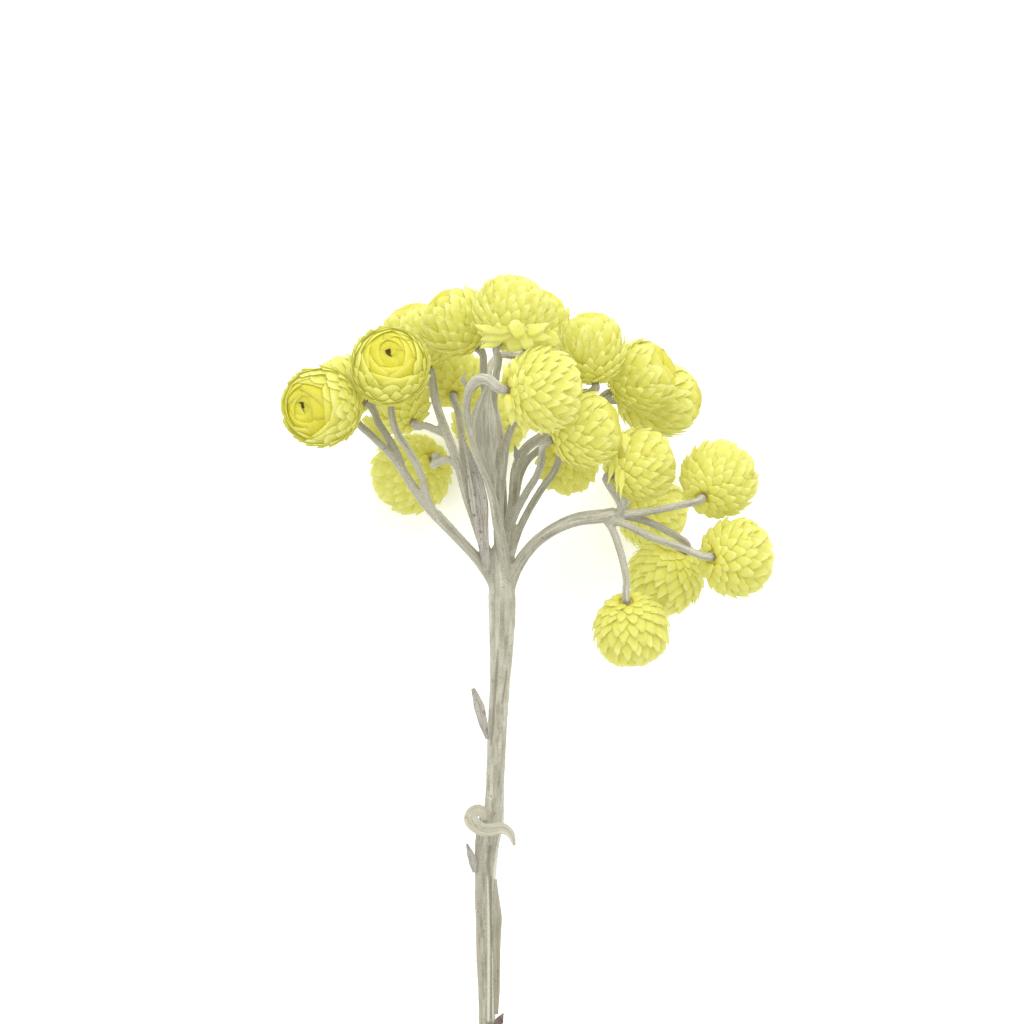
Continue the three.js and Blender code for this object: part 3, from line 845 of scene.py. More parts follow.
class SpiralTree(GeometryGroup):
    """The geometry group that lays a head's bracts over it like scales, on a spiral from base to crown."""

    # each curve runs from the base to the crown, with angles in radians from the base and lengths in
    # millimetres on a head of the usual radius
    ROOT: Curve = (
        (0.0, 0.17), (0.2, 0.55), (0.5, 1.05), (0.75, 1.5), (0.88, 1.74), (0.97, 2.10), (1.0, 2.32),
    )
    LENGTH: Curve = ((0.0, 1.5), (0.2, 2.6), (0.5, 3.5), (0.75, 3.8), (0.88, 3.9), (0.97, 4.2), (1.0, 4.75))
    WIDTH: Curve = ((0.0, 1.5), (0.2, 2.3), (0.5, 2.9), (0.75, 3.7), (0.86, 5.2), (0.95, 5.8), (1.0, 3.8))
    DEPTH: Curve = ((0.0, 0.3), (0.2, 0.42), (0.5, 0.5), (0.75, 0.5), (0.88, 0.8), (0.96, 0.9), (1.0, 0.5))
    LIFT: Curve = (
        (0.0, 0.05), (0.2, 0.18), (0.45, 0.32), (0.65, 0.42),
        (0.78, 0.42), (0.87, 0.15), (0.92, 0.0), (1.0, 0.0),
    )
    USUAL_RADIUS = 5.6
    LOW_LEVEL = 0.01  # the level that the finish reads on the first bract; the cup is below it
    TOP_LEVEL = 0.94  # the level that it reads on the innermost bract; the dimple is above it
    NARROWEST = 0.22  # the least distance from the axis, over the radius, that a bract bends round
    DIP = 0.14  # how far the skin sinks at the dimple, as a share of the radius
    DIP_SPAN = (0.04, 0.32)  # angles from the crown between which the skin rises out of the dimple
    LAP = 1e-6  # how far the levels of one form run into those of the next, so that none is left out

    # each random draw for a bract: its stream, and the range that it comes from
    ROOT_DRAW = (1, -0.03, 0.03)
    TURN_DRAW = (2, -0.1, 0.1)
    LIFT_DRAW = (3, -0.05, 0.05)
    SIZE_DRAW = (4, 0.93, 1.07)
    FORM_DRAW = (5, -0.05, 0.05)
    ROLL_DRAW = (6, -0.08, 0.08)
    YAW_DRAW = (7, -0.12, 0.12)
    TONE_DRAW = (8, 0.0, 1.0)

    def __init__(self, finish: bpy.types.Material) -> None:
        """Builds the group.

        Args:
            finish: the material that the bracts get.
        """
        sizes = {"Count": "Int", "Radius": "Float", "Stretch": "Float", "Openness": "Float", "Seed": "Int"}
        forms = {form.name: "Object" for form in BractForm}
        super().__init__("bract_spiral", {**sizes, **forms})
        parts = [self._laid(self._flat_bracts()), self.inputs["Geometry"]]
        self.end(self.graph.add("GeometryNodeJoinGeometry", {}, {"Geometry": parts}), finish)

    def _flat_bracts(self) -> Wire:
        """Returns every bract at its size, flat at the origin, with the values that place it."""
        graph, given = self.graph, self.inputs
        index = graph.add("GeometryNodeInputIndex", {}, {})
        level = index / (given["Count"] - 1)
        size = given["Radius"] / self.USUAL_RADIUS * self.random(*self.SIZE_DRAW)
        length = graph.profile(level, self.LENGTH) * size
        lift = graph.profile(level, self.LIFT) * given["Openness"] + self.random(*self.LIFT_DRAW)
        values = {
            "root": graph.profile(level, self.ROOT) + self.random(*self.ROOT_DRAW),
            "turn": index * GOLDEN_ANGLE + self.random(*self.TURN_DRAW),
            "reach": length,
            "depth": graph.profile(level, self.DEPTH) * size,
            "lift": lift * size,
            "level": level * (self.TOP_LEVEL - self.LOW_LEVEL) + self.LOW_LEVEL,
            "tone": self.random(*self.TONE_DRAW),
        }
        points = graph.add("GeometryNodePoints", {}, {"Count": given["Count"]})
        for name, value in values.items():
            points = graph.store(points, name, value)
        twist = graph.vector(0.0, self.random(*self.ROLL_DRAW), self.random(*self.YAW_DRAW))
        twist = graph.add("FunctionNodeEulerToRotation", {}, {"Euler": twist})
        scale = graph.vector(graph.profile(level, self.WIDTH) * size, length, MM)
        blurred = level + self.random(*self.FORM_DRAW)
        bracts = []
        for form in BractForm:
            low, high = form.levels
            below = 1 if form is BractForm.SCALE else graph.maths("GREATER_THAN", blurred, low)
            above = 1 if form is BractForm.CROWN else graph.maths("LESS_THAN", blurred, high + self.LAP)
            bract = graph.add("GeometryNodeObjectInfo", {}, {"Object": given[form.name]}, "Geometry")
            inputs = {
                "Points": points,
                "Selection": graph.maths("MULTIPLY", below, above),
                "Instance": bract,
                "Rotation": twist,
                "Scale": scale,
            }
            bracts.append(graph.add("GeometryNodeInstanceOnPoints", {}, inputs))
        joined = graph.add("GeometryNodeJoinGeometry", {}, {"Geometry": bracts})
        return graph.add("GeometryNodeRealizeInstances", {}, {"Geometry": joined})

    def _laid(self, bracts: Wire) -> Wire:
        """Returns the flat bracts bent over the head's skin, each from its own root towards the crown."""
        graph, radius = self.graph, self.inputs["Radius"]
        flat = graph.add("GeometryNodeInputPosition", {}, {})
        split = graph.add("ShaderNodeSeparateXYZ", {}, {"Vector": flat})
        across, along, height = graph.outputs(split, "X", "Y", "Z")
        polar = graph.held("root") + along / radius
        sine = graph.maths("SINE", polar)
        turn = graph.held("turn") - across / (radius * graph.maths("MAXIMUM", sine, self.NARROWEST))
        east, north = graph.maths("COSINE", turn), graph.maths("SINE", turn)
        way = graph.vector(sine * east, sine * north, graph.maths("COSINE", polar) * -1.0)
        share = along / graph.held("reach")
        reach = radius - graph.held("depth") * (1 - share) + graph.held("lift") * share * share + height
        edge = graph.between(graph.maths("ABSOLUTE", polar - math.pi), *self.DIP_SPAN)
        place = graph.scaled(way, reach * (1 - (1 - edge) * self.DIP))
        place = graph.vector_maths("MULTIPLY", place, graph.vector(1.0, 1.0, self.inputs["Stretch"]))
        return graph.add("GeometryNodeSetPosition", {}, {"Geometry": bracts, "Position": place})


@dataclass(frozen=True)
class LooseBract:
    """A bract that stands clear of its head: its root, its tip and the way its outside looks."""

    root: Point
    tip: Point
    outside: Point
    width: float
    form: BractForm = BractForm.LOWER
    bow: float = 0.35

    def mesh(self) -> bpy.types.Mesh:
        """Returns the bract in its place."""
        root, tip = to_frame(self.root), to_frame(self.tip)
        along = (tip - root).normalized()
        across = along.cross(Vector(self.outside)).normalized()
        length = (tip - root).length
        size = Matrix.Diagonal((self.width * MM, length, MM, 1))
        turn = Matrix((across, along, across.cross(along))).transposed().to_4x4()
        mesh = self.form.shape.mesh("loose_bract")
        for vertex in mesh.vertices:
            vertex.co.z += self.bow * math.sin(math.pi * vertex.co.y)
        mesh.transform(Matrix.Translation(root) @ turn @ size)
        clear_root_shade(mesh)
        return mesh


def clear_root_shade(mesh: bpy.types.Mesh) -> None:
    """Lets a bract that lies open to the light have none of the deep colour at its root, which is painted
    shade.
    """
    start = 0.6
    for item in mesh.uv_layers["blade"].data:
        item.uv.y = start + (1 - start) * item.uv.y


@dataclass(frozen=True)
class FlowerHead:
    """One head: a dense button of overlapping papery bracts that close over a small dimple."""

    name: str
    at: Point
    radius: float
    faces: Point
    length: float = 1.0
    openness: float = 1.0
    loose: tuple[LooseBract, ...] = ()

    BRACTS_PER_SQUARE_MM = 0.35
    CORE_SIDES = 20
    CORE_ROWS = 12
    CORE_SHARE = 0.9
    CORE_TAPER = 0.10  # how much slimmer the core gets for each radian past the shoulder
    SHOULDER = 2.0  # in radians from the base, as are the foot and the dimple
    FOOT = 0.22
    DIMPLE = 2.9
    DIMPLE_FLOOR = 0.66  # height over the radius
    NECK_TOP = -0.84
    NECK_SHARE = 0.8
    SUNK = 0.1  # how far the neck reaches into the cup
    LEVEL_RISE, TOP_LEVEL = 1.6, 0.9

    @property
    def count(self) -> int:
        """Returns the number of bracts, by the head's area."""
        return round(self.BRACTS_PER_SQUARE_MM * 4 * math.pi * self.radius**2 * self.length)

    def core(self) -> bpy.types.Mesh:
        """Returns the closed core that the bracts grow from, about the origin with its crown up."""
        turns = [2 * math.pi * side / self.CORE_SIDES for side in range(self.CORE_SIDES)]
        foot = -(self.radius * self.length * BASE_SHARE + GAP + self.SUNK)
        neck = CUP_RADIUS * self.NECK_SHARE
        section = [(neck, foot), (neck, self.NECK_TOP * self.radius * self.length)]
        for row in range(1, self.CORE_ROWS):
            polar = self.FOOT + (self.DIMPLE - self.FOOT) * row / (self.CORE_ROWS - 1)
            reach = self.radius * (self.CORE_SHARE - self.CORE_TAPER * max(0.0, polar - self.SHOULDER))
            section.append((reach * math.sin(polar), -reach * math.cos(polar) * self.length))
        rings = [[(r * MM * math.cos(t), r * MM * math.sin(t), z * MM) for t in turns] for r, z in section]
        top = (0.0, 0.0, self.DIMPLE_FLOOR * self.radius * self.length * MM)
        mesh = closed_rings(rings, (0.0, 0.0, foot * MM), top, "core")
        rises = [max(row - 1, 0) / len(rings) * self.LEVEL_RISE for row in range(len(rings))]
        levels = [min(rise, self.TOP_LEVEL) for rise in rises for _ in turns]
        levels[-self.CORE_SIDES :] = [1.0] * self.CORE_SIDES
        store(mesh, "level", [0.0, *levels, 1.0])
        store(mesh, "tone", [0.0] * len(mesh.vertices))
        mesh.uv_layers.new(name="blade")
        return mesh

    def below(self, distance: float) -> Point:
        """Returns the point on the head's axis a distance below the rim of its flat base."""
        reach = self.radius * self.length * BASE_SHARE + distance
        return tuple(Vector(self.at) - Vector(self.faces).normalized() * reach)

    def build(
        self,
        spiral: SpiralTree,
        forms: dict[str, bpy.types.Object],
        finish: bpy.types.Material,
        seed: int,
    ) -> bpy.types.Object:
        """Builds the head.

        Args:
            spiral: the group that sets the bracts.
            forms: one bract object of each form, by the form's name.
            finish: the bracts' finish.
            seed: the seed of the head's random draws.

        Returns:
            The finished head.
        """
        sizes = {
            "Count": self.count,
            "Radius": self.radius * MM,
            "Stretch": self.length,
            "Openness": self.openness,
            "Seed": seed,
        }
        mesh = spiral.run(object_of("core", self.core()), self.name, {**sizes, **forms})
        crown = Vector(self.faces).normalized()
        turn = Vector((0, 0, 1)).rotation_difference(crown).to_matrix().to_4x4()
        mesh.transform(Matrix.Translation(to_frame(self.at)) @ turn)
        head = object_of(self.name + "_bracts", mesh)
        add_loose(head, [bract.mesh() for bract in self.loose], finish)
        settle(mesh)
        dress(head, Slot.BRACT, [self.name])
        return head


def closed_rings(rings: list[list[Point]], first: Point, last: Point, name: str) -> bpy.types.Mesh:
    """Closes a stack of equal rings, anticlockwise as seen from above, into a solid.

    Args:
        rings: the rings, from the lowest.
        first: the point that closes the lowest ring.
        last: the point that closes the highest ring.
        name: the mesh's name.

    Returns:
        The closed mesh.
    """
    sides = len(rings[0])
    points = [first] + [point for ring in rings for point in ring] + [last]
    end = len(points) - 1
    top = 1 + (len(rings) - 1) * sides
    faces: list[tuple[int, ...]] = []
    for side in range(sides):
        following = (side + 1) % sides
        faces.append((0, 1 + following, 1 + side))
        faces.append((end, top + side, top + following))
        for row in range(len(rings) - 1):
            low = 1 + row * sides
            faces.append((low + side, low + following, low + sides + following, low + sides + side))
    mesh = bpy.data.meshes.new(name)
    mesh.from_pydata(points, [], faces)
    mesh.update()
    return mesh


def join(piece: bpy.types.Object, meshes: list[bpy.types.Mesh]) -> None:
    """Joins meshes to a piece."""
    if not meshes:
        return
    extras = [object_of("extra", mesh) for mesh in meshes]
    with bpy.context.temp_override(active_object=piece, selected_editable_objects=[piece, *extras]):
        bpy.ops.object.join()


def add_loose(head: bpy.types.Object, meshes: list[bpy.types.Mesh], finish: bpy.types.Material) -> None:
    """Joins loose bracts to a head."""
    for mesh in meshes:
        store(mesh, "level", [OPEN_LEVEL] * len(mesh.vertices))
        store(mesh, "tone", [OPEN_TONE] * len(mesh.vertices))
        mesh.materials.append(finish)
    join(head, meshes)


FIRST_SEED = 11
FRONT = (0.0, 0.0, 1.0)  # the way the bracts look that the camera sees flat

HEADS = (
    FlowerHead("head_01", (-28.3, 104.55, 34.0), 6.0, (-0.51, -0.08, 0.85), openness=0.45),
    FlowerHead("head_02", (-18.2, 110.5, 36.0), 5.9, (0.02, 0.35, 0.94), openness=0.45),
    FlowerHead("head_03", (-14.3, 115.0, 19.0), 5.35, (-0.36, 0.92, -0.1)),
    FlowerHead("head_04", (-8.1, 117.15, 28.0), 5.3, (-0.6, 0.75, -0.1)),
    FlowerHead(
        "head_05",
        (0.0, 118.4, 37.0),
        5.7,
        (0.38, 0.85, -0.35),
        loose=(
            LooseBract((1.3, 114.7, 42.4), (0.1, 117.3, 42.9), FRONT, 2.0, BractForm.CROWN, 0.15),
            LooseBract((1.4, 116.1, 41.9), (2.7, 112.9, 41.0), FRONT, 1.9, BractForm.CROWN, 0.2),
            LooseBract((0.6, 116.0, 41.6), (0.3, 112.6, 40.2), FRONT, 2.3, BractForm.CROWN, 0.2),
            LooseBract((0.2, 115.6, 41.8), (-4.7, 114.4, 39.6), FRONT, 2.1),
            LooseBract((-0.4, 115.9, 42.0), (-4.1, 115.8, 40.4), FRONT, 1.6),
            LooseBract((-2.4, 115.6, 41.2), (-5.6, 116.6, 40.0), FRONT, 1.3),
            LooseBract((-1.6, 114.4, 40.6), (-4.8, 113.2, 39.0), FRONT, 1.4),
            LooseBract((2.2, 115.3, 41.9), (5.6, 116.9, 41.4), FRONT, 1.7),
            LooseBract((2.4, 115.2, 41.5), (5.9, 114.6, 40.2), FRONT, 1.8),
            LooseBract((5.0, 115.4, 35.0), (7.3, 113.6, 33.4), FRONT, 2.2),
        ),
    ),
    FlowerHead("head_06", (3.8, 117.45, 3.85), 5.0, (0.35, 0.9, -0.2)),
    FlowerHead(
        "head_07",
        (12.0, 113.2, 31.0),
        4.85,
        (-0.08, 0.97, -0.12),
        1.17,
        loose=(LooseBract((8.4, 112.4, 30.6), (6.3, 114.9, 30.8), FRONT, 2.0),),
    ),
    FlowerHead(
        "head_08",
        (4.35, 107.0, 41.0),
        6.1,
        (0.9, 0.0, -0.4),
        loose=(
            LooseBract((-0.2, 108.9, 43.6), (-1.4, 110.6, 43.8), FRONT, 1.5),
            LooseBract((0.6, 109.2, 44.6), (0.1, 111.6, 44.3), FRONT, 1.4),
            LooseBract((0.5, 107.1, 45.2), (0.4, 109.4, 45.4), FRONT, 1.2),
            LooseBract((1.6, 107.6, 46.0), (1.4, 110.0, 46.0), FRONT, 1.3),
            LooseBract((-1.0, 106.5, 42.4), (-1.5, 104.9, 42.2), FRONT, 1.0),
            LooseBract((-0.3, 106.2, 44.4), (-0.5, 103.5, 43.8), FRONT, 1.8),
            LooseBract((0.3, 105.0, 43.8), (-0.1, 101.6, 42.2), FRONT, 1.7),
            LooseBract((1.0, 107.4, 45.6), (1.2, 104.9, 45.2), FRONT, 1.1),
            LooseBract((1.8, 105.6, 45.2), (1.6, 102.8, 43.8), FRONT, 1.2),
            LooseBract((2.4, 108.9, 46.6), (2.7, 104.4, 46.0), FRONT, 1.5),
            LooseBract((1.8, 104.0, 43.2), (1.9, 99.6, 41.0), FRONT, 1.5),
            LooseBract((3.6, 105.6, 45.6), (4.4, 100.2, 42.0), FRONT, 1.6),
            LooseBract((5.4, 105.0, 45.4), (6.1, 100.4, 42.0), FRONT, 1.5),
        ),
    ),
    FlowerHead("head_09", (10.8, 101.1, 32.5), 5.6, (0.94, 0.3, -0.12)),
    FlowerHead("head_10", (19.3, 109.1, 23.0), 5.4, (0.85, 0.45, 0.1)),
    FlowerHead("head_11", (22.1, 105.65, 12.6), 5.45, (0.97, 0.0, -0.16), 1.22),
    FlowerHead(
        "head_12",
        (19.0, 95.85, 25.5),
        5.4,
        (0.8, 0.3, -0.45),
        loose=(
            LooseBract((15.0, 97.8, 28.2), (13.6, 95.1, 28.4), FRONT, 0.9, BractForm.MIDDLE),
            LooseBract((15.3, 96.6, 28.8), (14.2, 92.5, 28.8), FRONT, 0.9, BractForm.MIDDLE),
            LooseBract((15.9, 95.8, 29.6), (15.6, 91.4, 29.2), FRONT, 0.9, BractForm.MIDDLE),
            LooseBract((16.5, 95.1, 30.2), (16.2, 90.6, 29.6), FRONT, 0.9, BractForm.MIDDLE),
            LooseBract((16.8, 100.5, 30.8), (16.9, 97.6, 31.0), FRONT, 1.2),
        ),
    ),
    FlowerHead("head_13", (8.25, 96.15, 16.5), 4.5, (0.15, -0.3, -0.94)),
    FlowerHead("head_14", (21.1, 88.75, 4.15), 5.4, (0.7, -0.3, -0.4)),
    FlowerHead("head_15", (30.85, 93.6, 24.0), 5.65, (0.45, 0.5, -0.74)),
    FlowerHead("head_16", (33.4, 82.0, 27.0), 5.8, (0.75, -0.02, -0.66), 0.9),
    FlowerHead("head_17", (23.2, 79.3, 18.6), 5.65, (-0.5, -0.7, -0.5)),
    FlowerHead("head_18", (17.85, 71.35, 27.0), 5.55, (0.14, -0.8, -0.56)),
    FlowerHead("head_19", (-15.1, 94.7, 4.5), 5.9, (-0.6, -0.4, -0.69)),
    FlowerHead("head_20", (-16.95, 105.15, 16.0), 4.7, (-0.5, 0.65, -0.55)),
    FlowerHead("head_21", (-8.8, 108.9, 13.0), 4.5, (0.0, 0.6, -0.8)),
    FlowerHead("head_22", (-3.3, 102.6, 6.2), 5.55, (0.0, 0.35, -0.94)),
    FlowerHead("head_23", (-25.05, 107.4, 22.6), 4.75, (-0.72, 0.5, -0.4)),
)


# The stem.


@dataclass(frozen=True)
class Stalk:
    """A round stalk: its route from root to tip and its radii along it, in millimetres."""

    route: tuple[Point, ...]
    radii: tuple[float, ...]
    cup: bool = False

    def points(self, detail: int = LINE_DETAIL) -> list[tuple[Vector, float]]:
        """Returns close points along the stalk, with its radius at each, in metres."""
        line = smooth_line(self.route, detail)
        places, length = shares(line)
        return [(point, self._radius(share, length / MM) * MM) for point, share in zip(line, places)]

    def _radius(self, share: float, length: float) -> float:
        """Returns the radius at a share of the length, flared where a cup carries a head."""
        radius = read(self.radii, share)
        if not self.cup:
            return radius
        flare = min(max(1 - (1 - share) * length / CUP_LENGTH, 0.0), 1.0)
        return radius + (CUP_RADIUS - radius) * flare * flare


class StalkTree(GeometryGroup):
    """The geometry group that runs round tubes along curves, thick by the curves' radius."""

    def __init__(self, finish: bpy.types.Material) -> None:
        """Builds the group.

        Args:
            finish: the material that the tubes get.
        """
        super().__init__("stalk_tubes", {"Step": "Float", "Sides": "Int"})
        graph, given = self.graph, self.inputs
        resampled = {"Curve": given["Geometry"], "Length": given["Step"]}
        curve = graph.add("GeometryNodeResampleCurve", {"mode": "LENGTH"}, resampled)
        curve = graph.store(curve, "along", graph.add("GeometryNodeSplineParameter", {}, {}, "Length"))
        radius = graph.add("GeometryNodeInputRadius", {}, {})
        curve = graph.store(curve, "thick", radius)
        ring = {"Resolution": given["Sides"], "Radius": 1.0}
        profile = graph.add("GeometryNodeCurvePrimitiveCircle", {"mode": "RADIUS"}, ring)
        around = graph.add("GeometryNodeInputPosition", {}, {})
        profile = graph.store(profile, "around", around, "FLOAT_VECTOR")
        tube = {"Curve": curve, "Profile Curve": profile, "Scale": radius, "Fill Caps": True}
        self.end(graph.add("GeometryNodeCurveToMesh", {}, tube), finish)


class SkinTree(GeometryGroup):
    """The geometry group that raises the dry ribs and lumps of a stalk's skin."""

    RIB_PACE = 45.0  # how far a metre along the stalk counts
    RIBS = (2.6, 2.0)  # the noise's scale and detail, as for the lumps
    LUMPS = (900.0, 2.0)

    def __init__(self, finish: bpy.types.Material) -> None:
        """Builds the group.

        Args:
            finish: the material that the skin gets.
        """
        super().__init__("stalk_skin", {"Rib": "Float", "Lump": "Float"})
        graph, given = self.graph, self.inputs
        ring = graph.skin_place(graph.held("around", "FLOAT_VECTOR"), graph.held("along"), self.RIB_PACE)
        rib = (graph.noise(ring, *self.RIBS) - 0.5) * given["Rib"] * graph.held("thick")
        place = graph.add("GeometryNodeInputPosition", {}, {})
        lump = (graph.noise(place, *self.LUMPS) - 0.5) * given["Lump"]
        offset = graph.scaled(graph.add("GeometryNodeInputNormal", {}, {}), rib + lump)
        inputs = {"Geometry": given["Geometry"], "Offset": offset}
        self.end(graph.add("GeometryNodeSetPosition", {}, inputs), finish)


class WoolTree(GeometryGroup):
    """The geometry group that scatters short, slanted hairs over a skin."""

    # each random draw for a hair: its stream, and the range that it comes from, angles in radians
    LEAN_DRAWS = ((1, -1.1, 1.1), (2, -1.1, 1.1))
    TURN_DRAW = (3, 0.0, 6.28)
    SIZE_DRAW = (4, 0.5, 1.2)

    def __init__(self, finish: bpy.types.Material) -> None:
        """Builds the group.

        Args:
            finish: the material that the hairs get.
        """
        super().__init__("wool", {"Density": "Float", "Length": "Float", "Seed": "Int", "Hair": "Object"})
        graph, given = self.graph, self.inputs
        scatter = {"Mesh": given["Geometry"], "Density": given["Density"], "Seed": given["Seed"]}
        points = graph.add("GeometryNodeDistributePointsOnFaces", {}, scatter, "Points")
        leans = [self.random(*draw) for draw in self.LEAN_DRAWS]
        slant = graph.vector(*leans, self.random(*self.TURN_DRAW))
        slant = graph.add("FunctionNodeEulerToRotation", {}, {"Euler": slant})
        turned = {"Rotation": graph.outputs(points, "Rotation")[0], "Rotate By": slant}
        rotation = graph.add("FunctionNodeRotateRotation", {"rotation_space": "LOCAL"}, turned)
        size = given["Length"] * self.random(*self.SIZE_DRAW)
        inputs = {
            "Points": points,
            "Instance": graph.add("GeometryNodeObjectInfo", {}, {"Object": given["Hair"]}, "Geometry"),
            "Rotation": rotation,
            "Scale": graph.vector(size, size, size),
        }
        self.end(graph.add("GeometryNodeInstanceOnPoints", {}, inputs), finish)


@dataclass(frozen=True)
class GrownStem:
    """The main stem with every strand, branch and peduncle, grown as one piece."""

    main: tuple[tuple[Point, float], ...]
    raised: tuple[Stalk, ...]
    # lines painted dark as the shade in the grooves between strands
    shade_lines: tuple[Stalk, ...]
    others: tuple[Stalk, ...]
    peduncles: dict[str, tuple[Point, ...]]
    unusual: dict[str, tuple[float, ...]]
    step: float = 0.6
    sides: int = 16
    voxel: float = 0.23
    rib: float = 0.22  # the ribs' height over the stalk's radius
    lump: float = 0.10
    cut_depth: float = 0.12
    line_fade: float = 0.14  # how far beyond a line's own radius its colour fades out

    def stalks(self) -> list[Stalk]:
        """Returns all the stalks, each peduncle with the cup under its head."""
        route, radii = zip(*self.main)
        stalks = [Stalk(route, radii), *self.raised, *self.others]
        for head in HEADS:
            top = (head.below(GAP + CUP_LENGTH * 0.5), head.below(GAP))
            radii = self.unusual.get(head.name, (STALK_RADIUS, STALK_RADIUS))
            stalks.append(Stalk((*self.peduncles[head.name], *top), radii, cup=True))
        return stalks

    def build(self, felt: bpy.types.Material) -> bpy.types.Object:
        """Builds the stem.

        Args:
            felt: its finish.

        Returns:
            The finished stem.
        """
        values = {"Step": self.step * MM, "Sides": self.sides}
        tubes = StalkTree(felt).run(self._curves(), "tubes", values)
        skin = self._merged(tubes)
        relief = {"Rib": self.rib, "Lump": self.lump * MM}
        mesh = SkinTree(felt).run(object_of("skin", skin), "stem_felted", relief)
        self._mark_cut_end(mesh)
        self._mark_lines(mesh, "ridge", self.raised)
        self._mark_lines(mesh, "crease", self.shade_lines)
        stem = object_of("stem_felted", mesh)
        settle(mesh)
        dress(stem, Slot.STEM, ["stem"])
        return stem

    def _curves(self) -> bpy.types.Object:
        """Returns the stalks as one object of plain curves."""
        data = bpy.data.curves.new("stalks", "CURVE")
        data.dimensions = "3D"
        for stalk in self.stalks():
            points = stalk.points()
            spline = data.splines.new("POLY")
            spline.points.add(len(points) - 1)
            for target, (place, radius) in zip(spline.points, points):
                target.co = (*place, 1.0)
                target.radius = radius
        return object_of("stalks", data)

    def _merged(self, tubes: bpy.types.Mesh) -> bpy.types.Mesh:
        """Grows the tubes into one skin with soft forks, and hands their places on to it.

        Args:
            tubes: the tubes, which run into each other.

        Returns:
            The joined skin.
        """
        source = object_of("tubes", tubes)
        remesh = source.modifiers.new("grow_together", "REMESH")
        remesh.mode = "VOXEL"
        remesh.voxel_size = self.voxel * MM
        smooth = source.modifiers.new("soften", "SMOOTH")
        smooth.iterations = 2
        skin = plain_mesh(source, "skin")
        remove(source)
        copy_nearest(tubes, skin, {"around": "FLOAT_VECTOR", "along": "FLOAT", "thick": "FLOAT"})
        return skin

    def _mark_cut_end(self, mesh: bpy.types.Mesh) -> None:
        """Stores which points lie on the face where the stem was cut."""
        start, following = to_frame(self.main[0][0]), to_frame(self.main[1][0])
        axis = (following - start).normalized()
        depth = self.cut_depth * MM
        store(mesh, "cut", [float((v.co - start).dot(axis) < depth) for v in mesh.vertices])

    def _mark_lines(self, mesh: bpy.types.Mesh, name: str, lines: Iterable[Stalk]) -> None:
        """Stores how far each point belongs to some lines on the skin, from 0 to 1.

        Args:
            mesh: the skin.
            name: the name of what is stored.
            lines: the lines, each as thick as it shows.
        """
        places = [place for line in lines for place in line.points(FINE_DETAIL)]
        tree = tree_of([point for point, _ in places])
        values = []
        for vertex in mesh.vertices:
            _, index, distance = tree.find(vertex.co)
            values.append(min(max(1 - (distance - places[index][1]) / (self.line_fade * MM), 0.0), 1.0))
        store(mesh, name, values)


def tree_of(points: Sequence[Vector]) -> KDTree:
    """Returns a search tree of points."""
    tree = KDTree(len(points))
    for index, point in enumerate(points):
        tree.insert(point, index)
    tree.balance()
    return tree


def copy_nearest(source: bpy.types.Mesh, target: bpy.types.Mesh, names: dict[str, str]) -> None:
    """Copies named values of points from one mesh to the nearest points of another.

    Args:
        source: the mesh that holds the values.
        target: the mesh that gets them.
        names: the kind of each named value.
    """
    tree = tree_of([vertex.co for vertex in source.vertices])
    nearest = [tree.find(vertex.co)[1] for vertex in target.vertices]
    for name, kind in names.items():
        data = source.attributes[name].data
        values = [item.vector.copy() if kind == "FLOAT_VECTOR" else item.value for item in data]
        store(target, name, [values[index] for index in nearest], kind)


